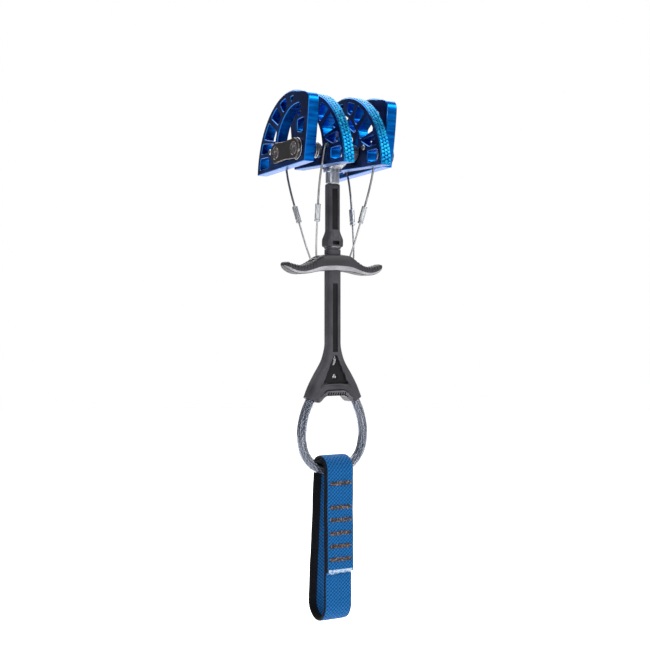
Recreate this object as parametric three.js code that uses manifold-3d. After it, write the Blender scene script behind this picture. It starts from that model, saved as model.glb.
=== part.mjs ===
// A spring loaded camming device: four toothed cam lobes on two axles, a single stem
// with a trigger bar that draws the lobes in through four pull wires, a cable thumb loop
// and a sewn sling. Millimetres, +Z up the stem, +X along the axles. The origin is midway
// between the two axles, on the axis of the stem.

import * as THREE from 'three';
import { mergeVertices } from 'three/addons/utils/BufferGeometryUtils.js';
import Module from 'manifold-3d';

const wasm = await Module();
wasm.setup();

// ---------------------------------------------------------------- driving dimensions

const CLEARANCE = 0.3; // between pieces that touch or turn on each other

// axles and the row of pieces along them, each measured from the stem outwards
const AXLE_SPACING = 24.4;
const AXLE_RADIUS = 3.6;
const AXLE_END_RECESS = { radius: 2.2, depth: 1.5 };
const HEAD_WIDTH = 8.9;
const CENTRE_GAP = 5.15; // stem head to inner lobe
const LOBE_THICKNESS = 7.3;
const LOBE_GAP = 8; // inner lobe to outer lobe
const WASHER_THICKNESS = 0.6;
const PLATE_THICKNESS = 1.8;

// cam lobe, drawn about its own axle with u towards the side it opens to and v up
const CAM_ANGLE = 14.5;
const TIP_REACH = 2.36; // tip radius over axle spacing
const TIP_ANGLE = -11;
const RIM_TOP_ANGLE = 90;
const RIM_WALL = 3.6;
const SLOT_WALL = 3.1;
const HUB_RADIUS = 7.6;
const LOBE_SWING = 90;
const SPOKE_SPANS = [[14.5, 30], [34, 48], [52.5, 66]]; // rim pockets between the spokes
const CREST_ANGLE = 75; // where the last rim hole starts
const AXLE_ROOM = 0.5; // round an axle in a lobe's window
const WIRE_HOLE = { beyond: 4.3, v: 2.2, radius: 1.2 }; // out from the foot of the rim pockets

// end plates, spacers, springs and beads
const PLATE_END_RADIUS = 6.6;
const PLATE_WAIST = 5.7;
const PLATE_SWEEP = 108; // of each rounded end, either side of its middle
const WASHER_RADIUS = 6.9;
const SPACER_RADIUS = 5.2;
const SPRING_WIRE = 1.2;
const SPRING_PITCH = 1.5;
const SPRING_LEG = 13;
const SPRING_ROOM = 0.4; // round the axle inside the coil
const BEAD_THICKNESS = 1.1;
const BEAD_RADIUS = 2.1;

// stem
const HEAD_END_RADIUS = 6.3;
const STUB_BOTTOM = -19;
const STEM_CABLE_RADIUS = 2.6;
const SOCKET_DEPTH = 9;
const SLEEVE = { width: 8.8, depth: 7.2, corner: 2.2 };
const SLEEVE_BOTTOM = -61;
const COLLAR = { top: -49.5, full: -55.5, taper: -59.5, width: 12.2, depth: 9.6 };
const LOWER_SLEEVE = { width: 9.6, depth: 7.6, corner: 2.2 };
const SLEEVE_GROOVE = { width: 3.2, depth: 0.45, top: -83, bottom: -118 };
const FLARE_TOP = -122;
const YOKE_BOTTOM = -159.5;
const YOKE_DEPTH = 9.4;
const YOKE_WIDTH = 39.6;
const ARCH = { half: 12, flat: 5.7, rise: 4.1 };
const YOKE_SHARES = [[0.16, 0.29], [0.34, 0.4], [0.58, 0.65], [0.78, 0.84]]; // drop, width
const YOKE_RISE = 0.555; // slope of the underside outside the thumb rest
const REST_HEIGHT = 4.2;
const REST_PROUD = 0.5;

// thumb loop
const LOOP_CABLE_RADIUS = 2.3;
const SHEATH_RADIUS = 3.2;
const SHEATH_WALL = 0.45;
const LOOP_BOTTOM = -203.4;
const LOOP_ROUTE = [ // right half of the cable's centre line, from inside the yoke down
  [6.4, -138], [10.4, -146.2], [16.2, -157.8], [20.4, -167.2], [22.5, -177], [22.5, -185],
  [20.3, -192.6], [14.8, -199.2], [7.8, -202.7],
];

const LOOP_NOSE = [[5.2, -135.6], [6.4, -138], [7.4, -140]]; // past each end of the cable
const LOOP_SOCKET_ROOM = 0.4;

// trigger and pull wires
const TRIGGER_HALF = 37;
const TRIGGER_TOP = -64.4;
const TRIGGER_DEPTH = 13.4;
const TRIGGER_BEVEL = 0.6;
const TRIGGER_TIP_RADIUS = 5.6; // of the rounded tips, seen from above
const WIRE_FOOT_Z = -68.5;
const WIRE_FOOT_X = { inner: 11.9, outer: 15.9 };
const WIRE_POCKET = { width: 2.2, depth: 6 };
const LOWER_CABLE_RADIUS = 0.6;
const UPPER_WIRE_RADIUS = 0.7;
const WIRE_STAND = 1.6; // upper wire's centre line to its lobe's face
const FERRULE = { radius: 1.8, length: 11.5, foot: 25.5 };

// sewn sling
const SLING_WIDTH = 20;
const WEB_THICKNESS = 2.3;
const SLING_TOP_RADIUS = 5.6;
const SLING_FOLD_RADIUS = 9.2;
const SLING_FOLD_Z = -288.6;
const SLING_LEAN = 3.4; // how far back the bottom fold hangs
const SEWN_END_Z = -267;

// ---------------------------------------------------------------- places worked out

const AXLE_Y = AXLE_SPACING / 2;
const TIP_RADIUS = TIP_REACH * AXLE_SPACING;
const BORE_RADIUS = AXLE_RADIUS + CLEARANCE;
const INNER_LOBE_X = HEAD_WIDTH / 2 + CENTRE_GAP;
const INNER_LOBE_END = INNER_LOBE_X + LOBE_THICKNESS;
const OUTER_LOBE_X = INNER_LOBE_END + LOBE_GAP;
const OUTER_LOBE_END = OUTER_LOBE_X + LOBE_THICKNESS;
const WASHER_X = OUTER_LOBE_END + CLEARANCE;
const PLATE_X = WASHER_X + WASHER_THICKNESS + CLEARANCE;
const PLATE_END = PLATE_X + PLATE_THICKNESS;
const AXLE_END = PLATE_END - CLEARANCE;
const SLOT_HALF = AXLE_RADIUS + AXLE_ROOM;
const SLOT_OUTER = AXLE_SPACING + SLOT_HALF;
const SLOT_INNER = AXLE_SPACING - SLOT_HALF;
const POCKET_FOOT = SLOT_OUTER + SLOT_WALL;
const WIRE_HOLE_U = POCKET_FOOT + WIRE_HOLE.beyond;
const SPRING_RADIUS = AXLE_RADIUS + SPRING_ROOM + SPRING_WIRE / 2;

const radians = THREE.MathUtils.degToRad;

// ---------------------------------------------------------------- outlines

const polar = (radius, degrees) => {
  const angle = radians(degrees);
  return [radius * Math.cos(angle), radius * Math.sin(angle)];
};

const arc = (centre, radius, from, to, steps) => {
  const points = [];
  for (let i = 0; i <= steps; i += 1) {
    const [x, y] = polar(radius, from + ((to - from) * i) / steps);
    points.push([centre[0] + x, centre[1] + y]);
  }
  return points;
};

const circle = (centre, radius, sides) => arc(centre, radius, 0, 360, sides).slice(0, sides);

const bezier = (a, b, c, d, steps) => {
  const curve = new THREE.CubicBezierCurve(
    new THREE.Vector2(...a), new THREE.Vector2(...b), new THREE.Vector2(...c), new THREE.Vector2(...d));
  return curve.getPoints(steps).map((p) => [p.x, p.y]);
};

// one corner rounded off by at most a third of its shorter side
const roundCorner = (before, corner, after, radius, steps) => {
  const [from, here, to] = [before, corner, after].map((p) => new THREE.Vector2(...p));
  const reach = Math.min(radius, here.distanceTo(from) / 3, here.distanceTo(to) / 3);
  const start = here.clone().lerp(from, reach / here.distanceTo(from));
  const end = here.clone().lerp(to, reach / here.distanceTo(to));
  return new THREE.QuadraticBezierCurve(start, here, end).getPoints(steps).map((p) => [p.x, p.y]);
};

const rounded = (corners, radius, steps = 2) => corners.flatMap((corner, i) => {
  const before = corners[(i + corners.length - 1) % corners.length];
  const after = corners[(i + 1) % corners.length];
  return roundCorner(before, corner, after, radius, steps);
});

// the rounded inner corners of an open run, without its two end points
const roundedRun = (run, radius, steps = 2) => run.slice(1, -1).flatMap(
  (corner, i) => roundCorner(run[i], corner, run[i + 2], radius, steps));

const roundedBox = (width, depth, corner, steps = 3) => {
  const x = width / 2 - corner;
  const y = depth / 2 - corner;
  return [
    ...arc([x, y], corner, 0, 90, steps), ...arc([-x, y], corner, 90, 180, steps),
    ...arc([-x, -y], corner, 180, 270, steps), ...arc([x, -y], corner, 270, 360, steps),
  ];
};

const mirrored = (half) => [...half, ...half.slice().reverse().map(([x, y]) => [-x, y])];

const toShape = (outline, holes = []) => {
  const shape = new THREE.Shape(outline.map((p) => new THREE.Vector2(...p)));
  shape.holes = holes.map((hole) => new THREE.Path(hole.map((p) => new THREE.Vector2(...p))));
  return shape;
};

// ---------------------------------------------------------------- solids

const extrude = (shape, depth) => new THREE.ExtrudeGeometry(shape, { depth, bevelEnabled: false });

// a (y, z) outline between two places along X
const alongX = (outline, holes, from, to) => {
  const geometry = extrude(toShape(outline, holes), to - from);
  const turn = new THREE.Matrix4().makeBasis(
    new THREE.Vector3(0, 1, 0), new THREE.Vector3(0, 0, 1), new THREE.Vector3(1, 0, 0));
  return geometry.applyMatrix4(turn).translate(from, 0, 0);
};

// an (x, z) outline, centred on Y
const alongY = (outline, depth, bevel = 0) => {
  const geometry = new THREE.ExtrudeGeometry(toShape(outline), {
    depth: depth - 2 * bevel,
    bevelEnabled: bevel > 0,
    bevelSize: bevel,
    bevelOffset: -bevel,
    bevelThickness: bevel,
    bevelSegments: 2,
  });
  return geometry.translate(0, 0, bevel - depth / 2).rotateX(Math.PI / 2);
};

const alongZ = (outline, from, to) => extrude(toShape(outline), to - from).translate(0, 0, from);

// a turned profile of [radius, place along X] points
const turnedX = (profile, sides = 24) => {
  const points = profile.map((p) => new THREE.Vector2(...p));
  return new THREE.LatheGeometry(points, sides).rotateZ(-Math.PI / 2);
};

const ringX = (inner, outer, from, to, sides = 18) => turnedX(
  [[inner, from], [outer, from], [outer, to], [inner, to], [inner, from]], sides);

const tube = (curve, radius, sides, steps, wall = 0) => {
  const holes = wall > 0 ? [circle([0, 0], radius - wall, sides)] : [];
  const section = toShape(circle([0, 0], radius, sides), holes);
  return new THREE.ExtrudeGeometry(section, { steps, extrudePath: curve });
};

const routeOf = (points) => new THREE.CatmullRomCurve3(points.map((p) => new THREE.Vector3(...p)));

// a closed skin over rounded box sections listed from the top down
const loft = (sections) => {
  const rings = sections.map((s) => roundedBox(s.width, s.depth, s.corner).map(([x, y]) => [x, y, s.z]));
  const count = rings[0].length;
  const index = [];
  for (let ring = 0; ring + 1 < rings.length; ring += 1) {
    for (let i = 0; i < count; i += 1) {
      const a = ring * count + i;
      const b = ring * count + ((i + 1) % count);
      index.push(a, a + count, b, b, a + count, b + count);
    }
  }
  const last = (rings.length - 1) * count;
  for (let i = 1; i + 1 < count; i += 1) {
    index.push(0, i, i + 1);
    index.push(last, last + i + 1, last + i);
  }
  const geometry = new THREE.BufferGeometry();
  geometry.setAttribute('position', new THREE.Float32BufferAttribute(rings.flat(2), 3));
  geometry.setIndex(index);
  return geometry;
};

const toManifold = (geometry) => {
  const bare = geometry.clone();
  bare.deleteAttribute('normal');
  bare.deleteAttribute('uv');
  const merged = mergeVertices(bare, 1e-4);
  const vertProperties = new Float32Array(merged.attributes.position.array);
  const triVerts = new Uint32Array(merged.index.array);
  return new wasm.Manifold(new wasm.Mesh({ numProp: 3, vertProperties, triVerts }));
};

const toGeometry = (manifold) => {
  const { vertProperties, triVerts, numProp } = manifold.getMesh();
  const positions = [];
  for (let i = 0; i < vertProperties.length; i += numProp) {
    positions.push(vertProperties[i], vertProperties[i + 1], vertProperties[i + 2]);
  }
  const geometry = new THREE.BufferGeometry();
  geometry.setAttribute('position', new THREE.Float32BufferAttribute(positions, 3));
  geometry.setIndex(Array.from(triVerts));
  return geometry;
};

const cut = (geometry, ...tools) => toGeometry(
  tools.reduce((body, tool) => body.subtract(toManifold(tool)), toManifold(geometry)));

const join = (...geometries) => toGeometry(
  geometries.map(toManifold).reduce((body, other) => body.add(other)));

const common = (a, b) => toGeometry(toManifold(a).intersect(toManifold(b)));

// ---------------------------------------------------------------- materials

const material = (color, roughness, metalness, extra = {}) =>
  new THREE.MeshStandardMaterial({ color, roughness, metalness, ...extra });

const BLUE_ANODISED = () => material(0x0d4f9c, 0.35, 0.9);
const STEEL = () => material(0x93969b, 0.3, 0.95);
const BRIGHT_STEEL = () => material(0xb9bcc0, 0.35, 0.9);
const SPRING_STEEL = () => material(0x8a8c90, 0.4, 0.9);
const BLACK_METAL = () => material(0x1d1b1c, 0.45, 0.6);
const BLACK_PLASTIC = () => material(0x27262b, 0.55, 0);
const GREY_PLASTIC = () => material(0x65646a, 0.5, 0);
const CLEAR_PLASTIC = () => material(0xd8dde4, 0.12, 0, { transparent: true, opacity: 0.3 });
const BLUE_WEBBING = () => material(0x0f4a8c, 0.85, 0);

// ---------------------------------------------------------------- assembly

const device = new THREE.Group();
device.name = 'camming_device';

const place = (name, geometry, finish) => {
  const mesh = new THREE.Mesh(geometry, finish());
  mesh.name = name;
  device.add(mesh);
  return mesh;
};

const SIDES = [['left', -1], ['right', 1]];

// spans along X, mirrored to the side asked for
const span = (side, from, to) => (side > 0 ? [from, to] : [-to, -from]);

// ---------------------------------------------------------------- cam lobes

const rimRadius = (degrees) =>
  TIP_RADIUS * Math.exp(-Math.tan(radians(CAM_ANGLE)) * radians(degrees - TIP_ANGLE));

const lobeOutline = () => {
  const rim = [];
  const steps = 24;
  for (let i = 0; i <= steps; i += 1) {
    const angle = TIP_ANGLE + ((RIM_TOP_ANGLE - TIP_ANGLE) * i) / steps;
    rim.push(polar(rimRadius(angle), angle));
  }
  const crest = rim[rim.length - 1];
  const shoulder = [-1.92 * HUB_RADIUS, 0.76 * crest[1]];
  const heel = [-1.1 * HUB_RADIUS, -1.13 * HUB_RADIUS];
  const back = bezier(
    crest, [crest[0] - 7, crest[1] - 1.2], [shoulder[0] - 0.8, crest[1] - 0.9], shoulder, 8);
  const spine = bezier(
    shoulder, [shoulder[0] + 0.5, shoulder[1] - 6], [-1.6 * HUB_RADIUS, 0.8 * HUB_RADIUS], heel, 6);
  return [...rim, ...back.slice(1), ...spine.slice(1)];
};

// the arc the other axle runs in, opened out towards the hub
const lobeWindow = () => {
  const low = -1;
  const high = LOBE_SWING + 1;
  const webX = HUB_RADIUS / 2;
  const run = [
    polar(SLOT_INNER, high), [webX, 0.9 * SLOT_INNER], [webX, 1.3 * HUB_RADIUS],
    [1.15 * HUB_RADIUS, 0.82 * HUB_RADIUS], [2.2 * HUB_RADIUS, SLOT_HALF], polar(SLOT_INNER, low),
  ];
  return [
    ...arc([0, 0], SLOT_OUTER, low, high, 16),
    ...arc(polar(AXLE_SPACING, high), SLOT_HALF, high, high + 180, 6).slice(1),
    ...roundedRun(run, 1.6),
    ...arc(polar(AXLE_SPACING, low), SLOT_HALF, low + 180, low + 360, 6).slice(0, -1),
  ];
};

const lobeHoles = () => {
  const rimEdge = (degrees) => polar(rimRadius(degrees) - RIM_WALL, degrees);
  const foot = WIRE_HOLE_U + 3.5;
  const lowPocket = [[foot, -7.4], [rimEdge(-8.4)[0], -7.6], rimEdge(-0.6), [foot, -0.5]];
  const highPocket = [[foot + 1.6, 2.4], rimEdge(2.8), rimEdge(10.6), polar(POCKET_FOOT + 0.6, 12.6)];
  const pockets = SPOKE_SPANS.map(([low, high]) => [
    polar(POCKET_FOOT, low + 1), rimEdge(low), rimEdge((low + high) / 2), rimEdge(high - 1),
    polar(POCKET_FOOT, high - 3),
  ]);
  const crestRoom = rimRadius(CREST_ANGLE) - RIM_WALL - POCKET_FOOT;
  const crestHole = [
    polar(POCKET_FOOT, CREST_ANGLE), polar(POCKET_FOOT + 0.88 * crestRoom, CREST_ANGLE - 1),
    polar(POCKET_FOOT + 0.67 * crestRoom, CREST_ANGLE + 7),
  ];
  const backWindow = [
    [-1.1 * HUB_RADIUS, 0.91 * SLOT_INNER], [0.2, 0.88 * SLOT_INNER], [0.2, HUB_RADIUS + 3],
    [-0.84 * HUB_RADIUS, HUB_RADIUS + 2],
  ];
  return [
    circle([0, 0], BORE_RADIUS, 20),
    circle([WIRE_HOLE_U, WIRE_HOLE.v], WIRE_HOLE.radius, 8),
    lobeWindow(),
    rounded(lowPocket, 1.4),
    rounded(highPocket, 1.6),
    ...pockets.map((pocket) => rounded(pocket, 1.6)),
    rounded(crestHole, 1.2),
    rounded(backWindow, 1.6),
  ];
};

// outer lobes turn on the front axle and open backwards, inner lobes the other way round
const LOBES = [
  { row: 'inner', x: INNER_LOBE_X, open: -1 },
  { row: 'outer', x: OUTER_LOBE_X, open: 1 },
];

// a lobe's own outline set between two places along X, then turned to face the way it opens
const inLobeFrame = (outline, holes, side, open, from, to) => {
  const shift = (points) => points.map(([u, v]) => [u - AXLE_Y, v]);
  const geometry = alongX(shift(outline), holes.map(shift), ...span(side * open, from, to));
  return open > 0 ? geometry : geometry.rotateZ(Math.PI);
};

const addLobe = (sideName, side, { row, x, open }) => {
  const geometry = inLobeFrame(lobeOutline(), lobeHoles(), side, open, x, x + LOBE_THICKNESS);
  place(`${sideName}_${row}_lobe`, geometry, BLUE_ANODISED);
};

// the swaged bead that keeps a pull wire's end in its lobe, on the face away from the wire
const addBead = (sideName, side, { row, x, open }) => {
  const near = row === 'inner' ? x - CLEARANCE - BEAD_THICKNESS : x + LOBE_THICKNESS + CLEARANCE;
  const outline = circle([WIRE_HOLE_U, WIRE_HOLE.v], BEAD_RADIUS, 12);
  const geometry = inLobeFrame(outline, [], side, open, near, near + BEAD_THICKNESS);
  place(`${sideName}_${row}_bead`, geometry, BRIGHT_STEEL);
};

// ---------------------------------------------------------------- axle hardware

const addAxle = (name, y) => {
  const { radius, depth } = AXLE_END_RECESS;
  const profile = [
    [0, -AXLE_END + depth], [radius, -AXLE_END + depth], [radius, -AXLE_END], [AXLE_RADIUS, -AXLE_END],
    [AXLE_RADIUS, AXLE_END], [radius, AXLE_END], [radius, AXLE_END - depth], [0, AXLE_END - depth],
  ];
  place(name, turnedX(profile, 24).translate(0, y, 0), STEEL);
};

const addEndPlate = (sideName, side) => {
  const waist = (sign) => bezier(
    [sign * 5.6, sign * PLATE_END_RADIUS * 0.93], [sign * 2.4, sign * PLATE_WAIST],
    [-sign * 2.4, sign * PLATE_WAIST], [-sign * 5.6, sign * PLATE_END_RADIUS * 0.93], 4);
  const outline = [
    ...arc([AXLE_Y, 0], PLATE_END_RADIUS, -PLATE_SWEEP, PLATE_SWEEP, 12), ...waist(1),
    ...arc([-AXLE_Y, 0], PLATE_END_RADIUS, 180 - PLATE_SWEEP, 180 + PLATE_SWEEP, 12), ...waist(-1),
  ];
  const holes = [circle([AXLE_Y, 0], BORE_RADIUS, 20), circle([-AXLE_Y, 0], BORE_RADIUS, 20)];
  place(`${sideName}_end_plate`, alongX(outline, holes, ...span(side, PLATE_X, PLATE_END)), BLACK_METAL);
};

const addWasher = (sideName, side) => {
  const ring = ringX(BORE_RADIUS, WASHER_RADIUS, ...span(side, WASHER_X, WASHER_X + WASHER_THICKNESS));
  place(`${sideName}_washer`, ring.translate(0, -AXLE_Y, 0), BRIGHT_STEEL);
};

const addSpacer = (name, y, room) => {
  const ring = ringX(BORE_RADIUS, SPACER_RADIUS, ...room);
  place(name, ring.translate(0, y, 0), STEEL);
};

const addSpacers = (sideName, side) => {
  const centre = span(side, HEAD_WIDTH / 2 + CLEARANCE, INNER_LOBE_X - CLEARANCE);
  const outer = span(side, INNER_LOBE_END + CLEARANCE, OUTER_LOBE_X - CLEARANCE);
  addSpacer(`${sideName}_centre_spacer`, -AXLE_Y, centre);
  addSpacer(`${sideName}_outer_spacer`, AXLE_Y, outer);
};

// a torsion spring coiled on the axle its lobe turns on, with one leg along the lobe's back
const addSpring = (sideName, side, row, room, y) => {
  const margin = CLEARANCE + SPRING_WIRE / 2;
  const end = room[1] - margin;
  const turns = Math.floor((room[1] - room[0] - 2 * margin) / SPRING_PITCH);
  const open = Math.sign(-y);
  const points = [];
  const perTurn = 10;
  for (let i = 0; i <= turns * perTurn; i += 1) {
    const [c, s] = polar(SPRING_RADIUS, 180 - (360 * i) / perTurn);
    points.push([side * (end - SPRING_PITCH * (turns - i / perTurn)), y + open * c, s]);
  }
  const last = points[points.length - 1];
  points.push([last[0], last[1] - open * 0.3, SPRING_LEG / 3]);
  points.push([last[0], last[1] - open * 0.8, (2 * SPRING_LEG) / 3]);
  points.push([last[0], last[1] - open * 1.2, SPRING_LEG]);
  const steps = (turns + 1) * perTurn;
  place(`${sideName}_${row}_spring`, tube(routeOf(points), SPRING_WIRE / 2, 5, steps), SPRING_STEEL);
};

// ---------------------------------------------------------------- stem

const stemBore = (from, to) => alongZ(circle([0, 0], STEM_CABLE_RADIUS + CLEARANCE, 16), to, from);

const addStemTerminal = () => {
  const neck = HEAD_WIDTH / 2 + 0.15;
  const outline = [
    ...arc([AXLE_Y, 0], HEAD_END_RADIUS, -75, 95, 9), ...arc([-AXLE_Y, 0], HEAD_END_RADIUS, 85, 255, 9),
    [-neck, -HEAD_END_RADIUS - 3.2], [-neck, -HEAD_END_RADIUS - 5.5],
    [neck, -HEAD_END_RADIUS - 5.5], [neck, -HEAD_END_RADIUS - 3.2],
  ];
  const holes = [circle([AXLE_Y, 0], BORE_RADIUS, 20), circle([-AXLE_Y, 0], BORE_RADIUS, 20)];
  const head = alongX(outline, holes, -HEAD_WIDTH / 2, HEAD_WIDTH / 2);
  const stub = alongZ(circle([0, 0], HEAD_WIDTH / 2, 24), STUB_BOTTOM, -HEAD_END_RADIUS);
  const socket = stemBore(STUB_BOTTOM + SOCKET_DEPTH, STUB_BOTTOM - 1);
  place('stem_terminal', cut(join(head, stub), socket), STEEL);
};

const addStemCable = () => {
  const top = STUB_BOTTOM + SOCKET_DEPTH - CLEARANCE;
  place('stem_cable', alongZ(circle([0, 0], STEM_CABLE_RADIUS, 14), FLARE_TOP - 8, top), STEEL);
};

// the shallow panel pressed into the front and back of a sleeve
const groove = (depth, from, to) => {
  const outline = [
    [-SLEEVE_GROOVE.width / 2, to], [SLEEVE_GROOVE.width / 2, to],
    [SLEEVE_GROOVE.width / 2, from], [-SLEEVE_GROOVE.width / 2, from],
  ];
  const middle = depth / 2;
  return [1, -1].map((face) => alongY(outline, 2 * SLEEVE_GROOVE.depth).translate(0, face * middle, 0));
};

const addUpperSleeve = () => {
  const top = STUB_BOTTOM - CLEARANCE;
  const collar = { width: COLLAR.width, depth: COLLAR.depth, corner: SLEEVE.corner + 1 };
  const body = loft([
    { ...SLEEVE, z: top },
    { ...SLEEVE, z: COLLAR.top },
    { ...collar, z: COLLAR.full },
    { ...collar, z: COLLAR.taper },
    { ...LOWER_SLEEVE, z: SLEEVE_BOTTOM },
  ]);
  const grooves = groove(SLEEVE.depth, top - 3, COLLAR.top + 1.5);
  place('upper_sleeve', cut(body, stemBore(top + 1, SLEEVE_BOTTOM - 1), ...grooves), BLACK_PLASTIC);
};

const loopPoints = () => {
  const right = LOOP_ROUTE.map(([x, z]) => [x, 0, z]);
  const left = LOOP_ROUTE.map(([x, z]) => [-x, 0, z]).reverse();
  return [...right, [0, 0, LOOP_BOTTOM], ...left];
};

const archEdge = () => {
  const { half, flat, rise } = ARCH;
  const foot = YOKE_BOTTOM + 0.2;
  const curve = bezier([half, foot], [half - 2.6, foot + 1], [flat + 3, foot + rise], [flat, foot + rise], 4);
  return mirrored(curve);
};

const restTop = (gap) => {
  const top = YOKE_BOTTOM + ARCH.rise + REST_HEIGHT + gap;
  return [[ARCH.half + 1 + gap, YOKE_BOTTOM + 3], [ARCH.half - 3.8 + gap, top]];
};

// the two holes the loop's cable ends are moulded into, along a run of (x, z) points
const loopSockets = (run, steps) => [1, -1].map((side) => {
  const route = routeOf(run.map(([x, z]) => [side * x, 0, z]));
  return tube(route, LOOP_CABLE_RADIUS + LOOP_SOCKET_ROOM, 10, steps);
});

const addLowerSleeve = () => {
  const flare = (z, width) => {
    const share = (width - LOWER_SLEEVE.width) / (YOKE_WIDTH - LOWER_SLEEVE.width);
    return { z, width, depth: THREE.MathUtils.lerp(LOWER_SLEEVE.depth, YOKE_DEPTH, share), corner: 2.2 };
  };
  const drop = FLARE_TOP - YOKE_BOTTOM;
  const body = loft([
    { ...LOWER_SLEEVE, z: SLEEVE_BOTTOM - CLEARANCE },
    flare(FLARE_TOP, LOWER_SLEEVE.width),
    ...YOKE_SHARES.map(([down, wide]) => flare(FLARE_TOP - down * drop, wide * YOKE_WIDTH)),
    flare(YOKE_BOTTOM, YOKE_WIDTH),
  ]);
  const reach = YOKE_WIDTH;
  const foot = [ARCH.half + 1 + CLEARANCE, YOKE_BOTTOM];
  const outer = YOKE_BOTTOM + YOKE_RISE * (reach - foot[0]);
  const underside = mirrored([
    [reach, YOKE_BOTTOM - 20], [reach, outer], foot, ...restTop(CLEARANCE),
  ]);
  const cuts = [
    stemBore(SLEEVE_BOTTOM + 1, FLARE_TOP - 9), alongY(underside, 3 * YOKE_DEPTH),
    ...loopSockets(LOOP_ROUTE.slice(0, 4), 10), ...loopSockets(LOOP_NOSE, 3),
    ...groove(LOWER_SLEEVE.depth, SLEEVE_GROOVE.top, SLEEVE_GROOVE.bottom),
  ];
  place('lower_sleeve', cut(body, ...cuts), BLACK_PLASTIC);
};

const addThumbRest = () => {
  const edge = archEdge();
  const top = mirrored(restTop(0)).reverse();
  place('thumb_rest', alongY([...edge, ...top], YOKE_DEPTH + 2 * REST_PROUD, 0.6), GREY_PLASTIC);
};

// ---------------------------------------------------------------- thumb loop

const addThumbLoop = () => {
  const route = routeOf(loopPoints());
  place('thumb_loop_cable', tube(route, LOOP_CABLE_RADIUS, 8, 48), STEEL);
  const outside = (p) => p.z < YOKE_BOTTOM + 0.9 || Math.abs(p.x) > 20;
  const clear = route.getSpacedPoints(200).filter(outside);
  const skin = tube(new THREE.CatmullRomCurve3(clear), SHEATH_RADIUS, 10, 36, SHEATH_WALL);
  place('loop_sheath', skin, CLEAR_PLASTIC);
};

// ---------------------------------------------------------------- trigger

const addTrigger = () => {
  const h = TRIGGER_HALF;
  const t = TRIGGER_TOP;
  const half = [
    [0, t - 10.4], [0.32 * h, t - 11.2], [0.53 * h, t - 12.6], [0.69 * h, t - 13.1], [0.82 * h, t - 12.2],
    [0.94 * h, t - 9.8], [h, t - 7.8], [0.99 * h, t - 6.3], [0.93 * h, t - 5.4], [0.82 * h, t - 6.5],
    [0.68 * h, t - 7.3], [0.56 * h, t - 6.5], [0.43 * h, t - 4], [0.28 * h, t - 0.9], [0.14 * h, t - 0.1],
    [0, t],
  ];
  const curve = new THREE.SplineCurve(half.map((p) => new THREE.Vector2(...p)));
  const right = curve.getPoints(26).map((p) => [p.x, p.y]);
  const bar = alongY(mirrored(right.slice(1, -1)), TRIGGER_DEPTH, TRIGGER_BEVEL);
  const plan = [
    ...arc([h - TRIGGER_TIP_RADIUS, 0], TRIGGER_TIP_RADIUS, -80, 80, 8),
    [0.3 * h, TRIGGER_DEPTH / 2], [-0.3 * h, TRIGGER_DEPTH / 2],
    ...arc([TRIGGER_TIP_RADIUS - h, 0], TRIGGER_TIP_RADIUS, 100, 260, 8),
    [-0.3 * h, -TRIGGER_DEPTH / 2], [0.3 * h, -TRIGGER_DEPTH / 2],
  ];
  const keep = alongZ(plan, t - 20, t + 5);
  const grown = (size) => size + 2 * CLEARANCE;
  const bore = roundedBox(grown(LOWER_SLEEVE.width), grown(LOWER_SLEEVE.depth), LOWER_SLEEVE.corner);
  const pockets = Object.values(WIRE_FOOT_X).flatMap((x) => [1, -1].map((side) => {
    const outline = roundedBox(WIRE_POCKET.width, WIRE_POCKET.depth, 0.6, 2);
    return alongZ(outline, WIRE_FOOT_Z - 1.2, t + 5).translate(side * x, 0, 0);
  }));
  place('trigger', cut(common(bar, keep), alongZ(bore, t - 20, t + 5), ...pockets), BLACK_PLASTIC);
};

// ---------------------------------------------------------------- pull wires

// each wire leans in the plane of its lobe's swing and spreads a little along X as it rises
const addWire = (sideName, side, { row, x, open }) => {
  const top = { y: open * (WIRE_HOLE_U - AXLE_Y), z: WIRE_HOLE.v };
  const faceX = row === 'inner' ? x + LOBE_THICKNESS + CLEARANCE : x - CLEARANCE;
  const runX = row === 'inner' ? faceX + WIRE_STAND : faceX - WIRE_STAND;
  const length = Math.hypot(top.y, top.z - WIRE_FOOT_Z);
  const at = (distance, sideways) => {
    const share = distance / length;
    return [side * sideways, top.y * share, WIRE_FOOT_Z + (top.z - WIRE_FOOT_Z) * share];
  };
  const footX = WIRE_FOOT_X[row];
  const low = FERRULE.foot;
  const high = FERRULE.foot + FERRULE.length;
  const spread = (distance) => {
    const share = Math.min(1, Math.pow(distance / (high + 14), 0.8));
    return THREE.MathUtils.lerp(footX, runX, share);
  };
  const ferruleX = [spread(low), spread(high)];
  const lower = [0, 0.35, 0.7, 1].map((share) => {
    const distance = share * (low - CLEARANCE);
    return at(distance, spread(distance));
  });
  place(`${sideName}_${row}_lower_cable`, tube(routeOf(lower), LOWER_CABLE_RADIUS, 6, 6), BRIGHT_STEEL);
  const ferruleLine = new THREE.LineCurve3(
    new THREE.Vector3(...at(low, ferruleX[0])), new THREE.Vector3(...at(high, ferruleX[1])));
  place(`${sideName}_${row}_ferrule`, tube(ferruleLine, FERRULE.radius, 12, 1), BRIGHT_STEEL);
  const start = high + CLEARANCE;
  const upper = [0, 0.25, 0.5, 0.75].map((share) => {
    const distance = start + share * (length - start);
    return at(distance, spread(distance));
  });
  upper.push(at(length - WIRE_STAND, runX), at(length - 0.4, (2 * runX + faceX) / 3), at(length, faceX));
  place(`${sideName}_${row}_upper_wire`, tube(routeOf(upper), UPPER_WIRE_RADIUS, 6, 14), STEEL);
};

// ---------------------------------------------------------------- sling

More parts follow.
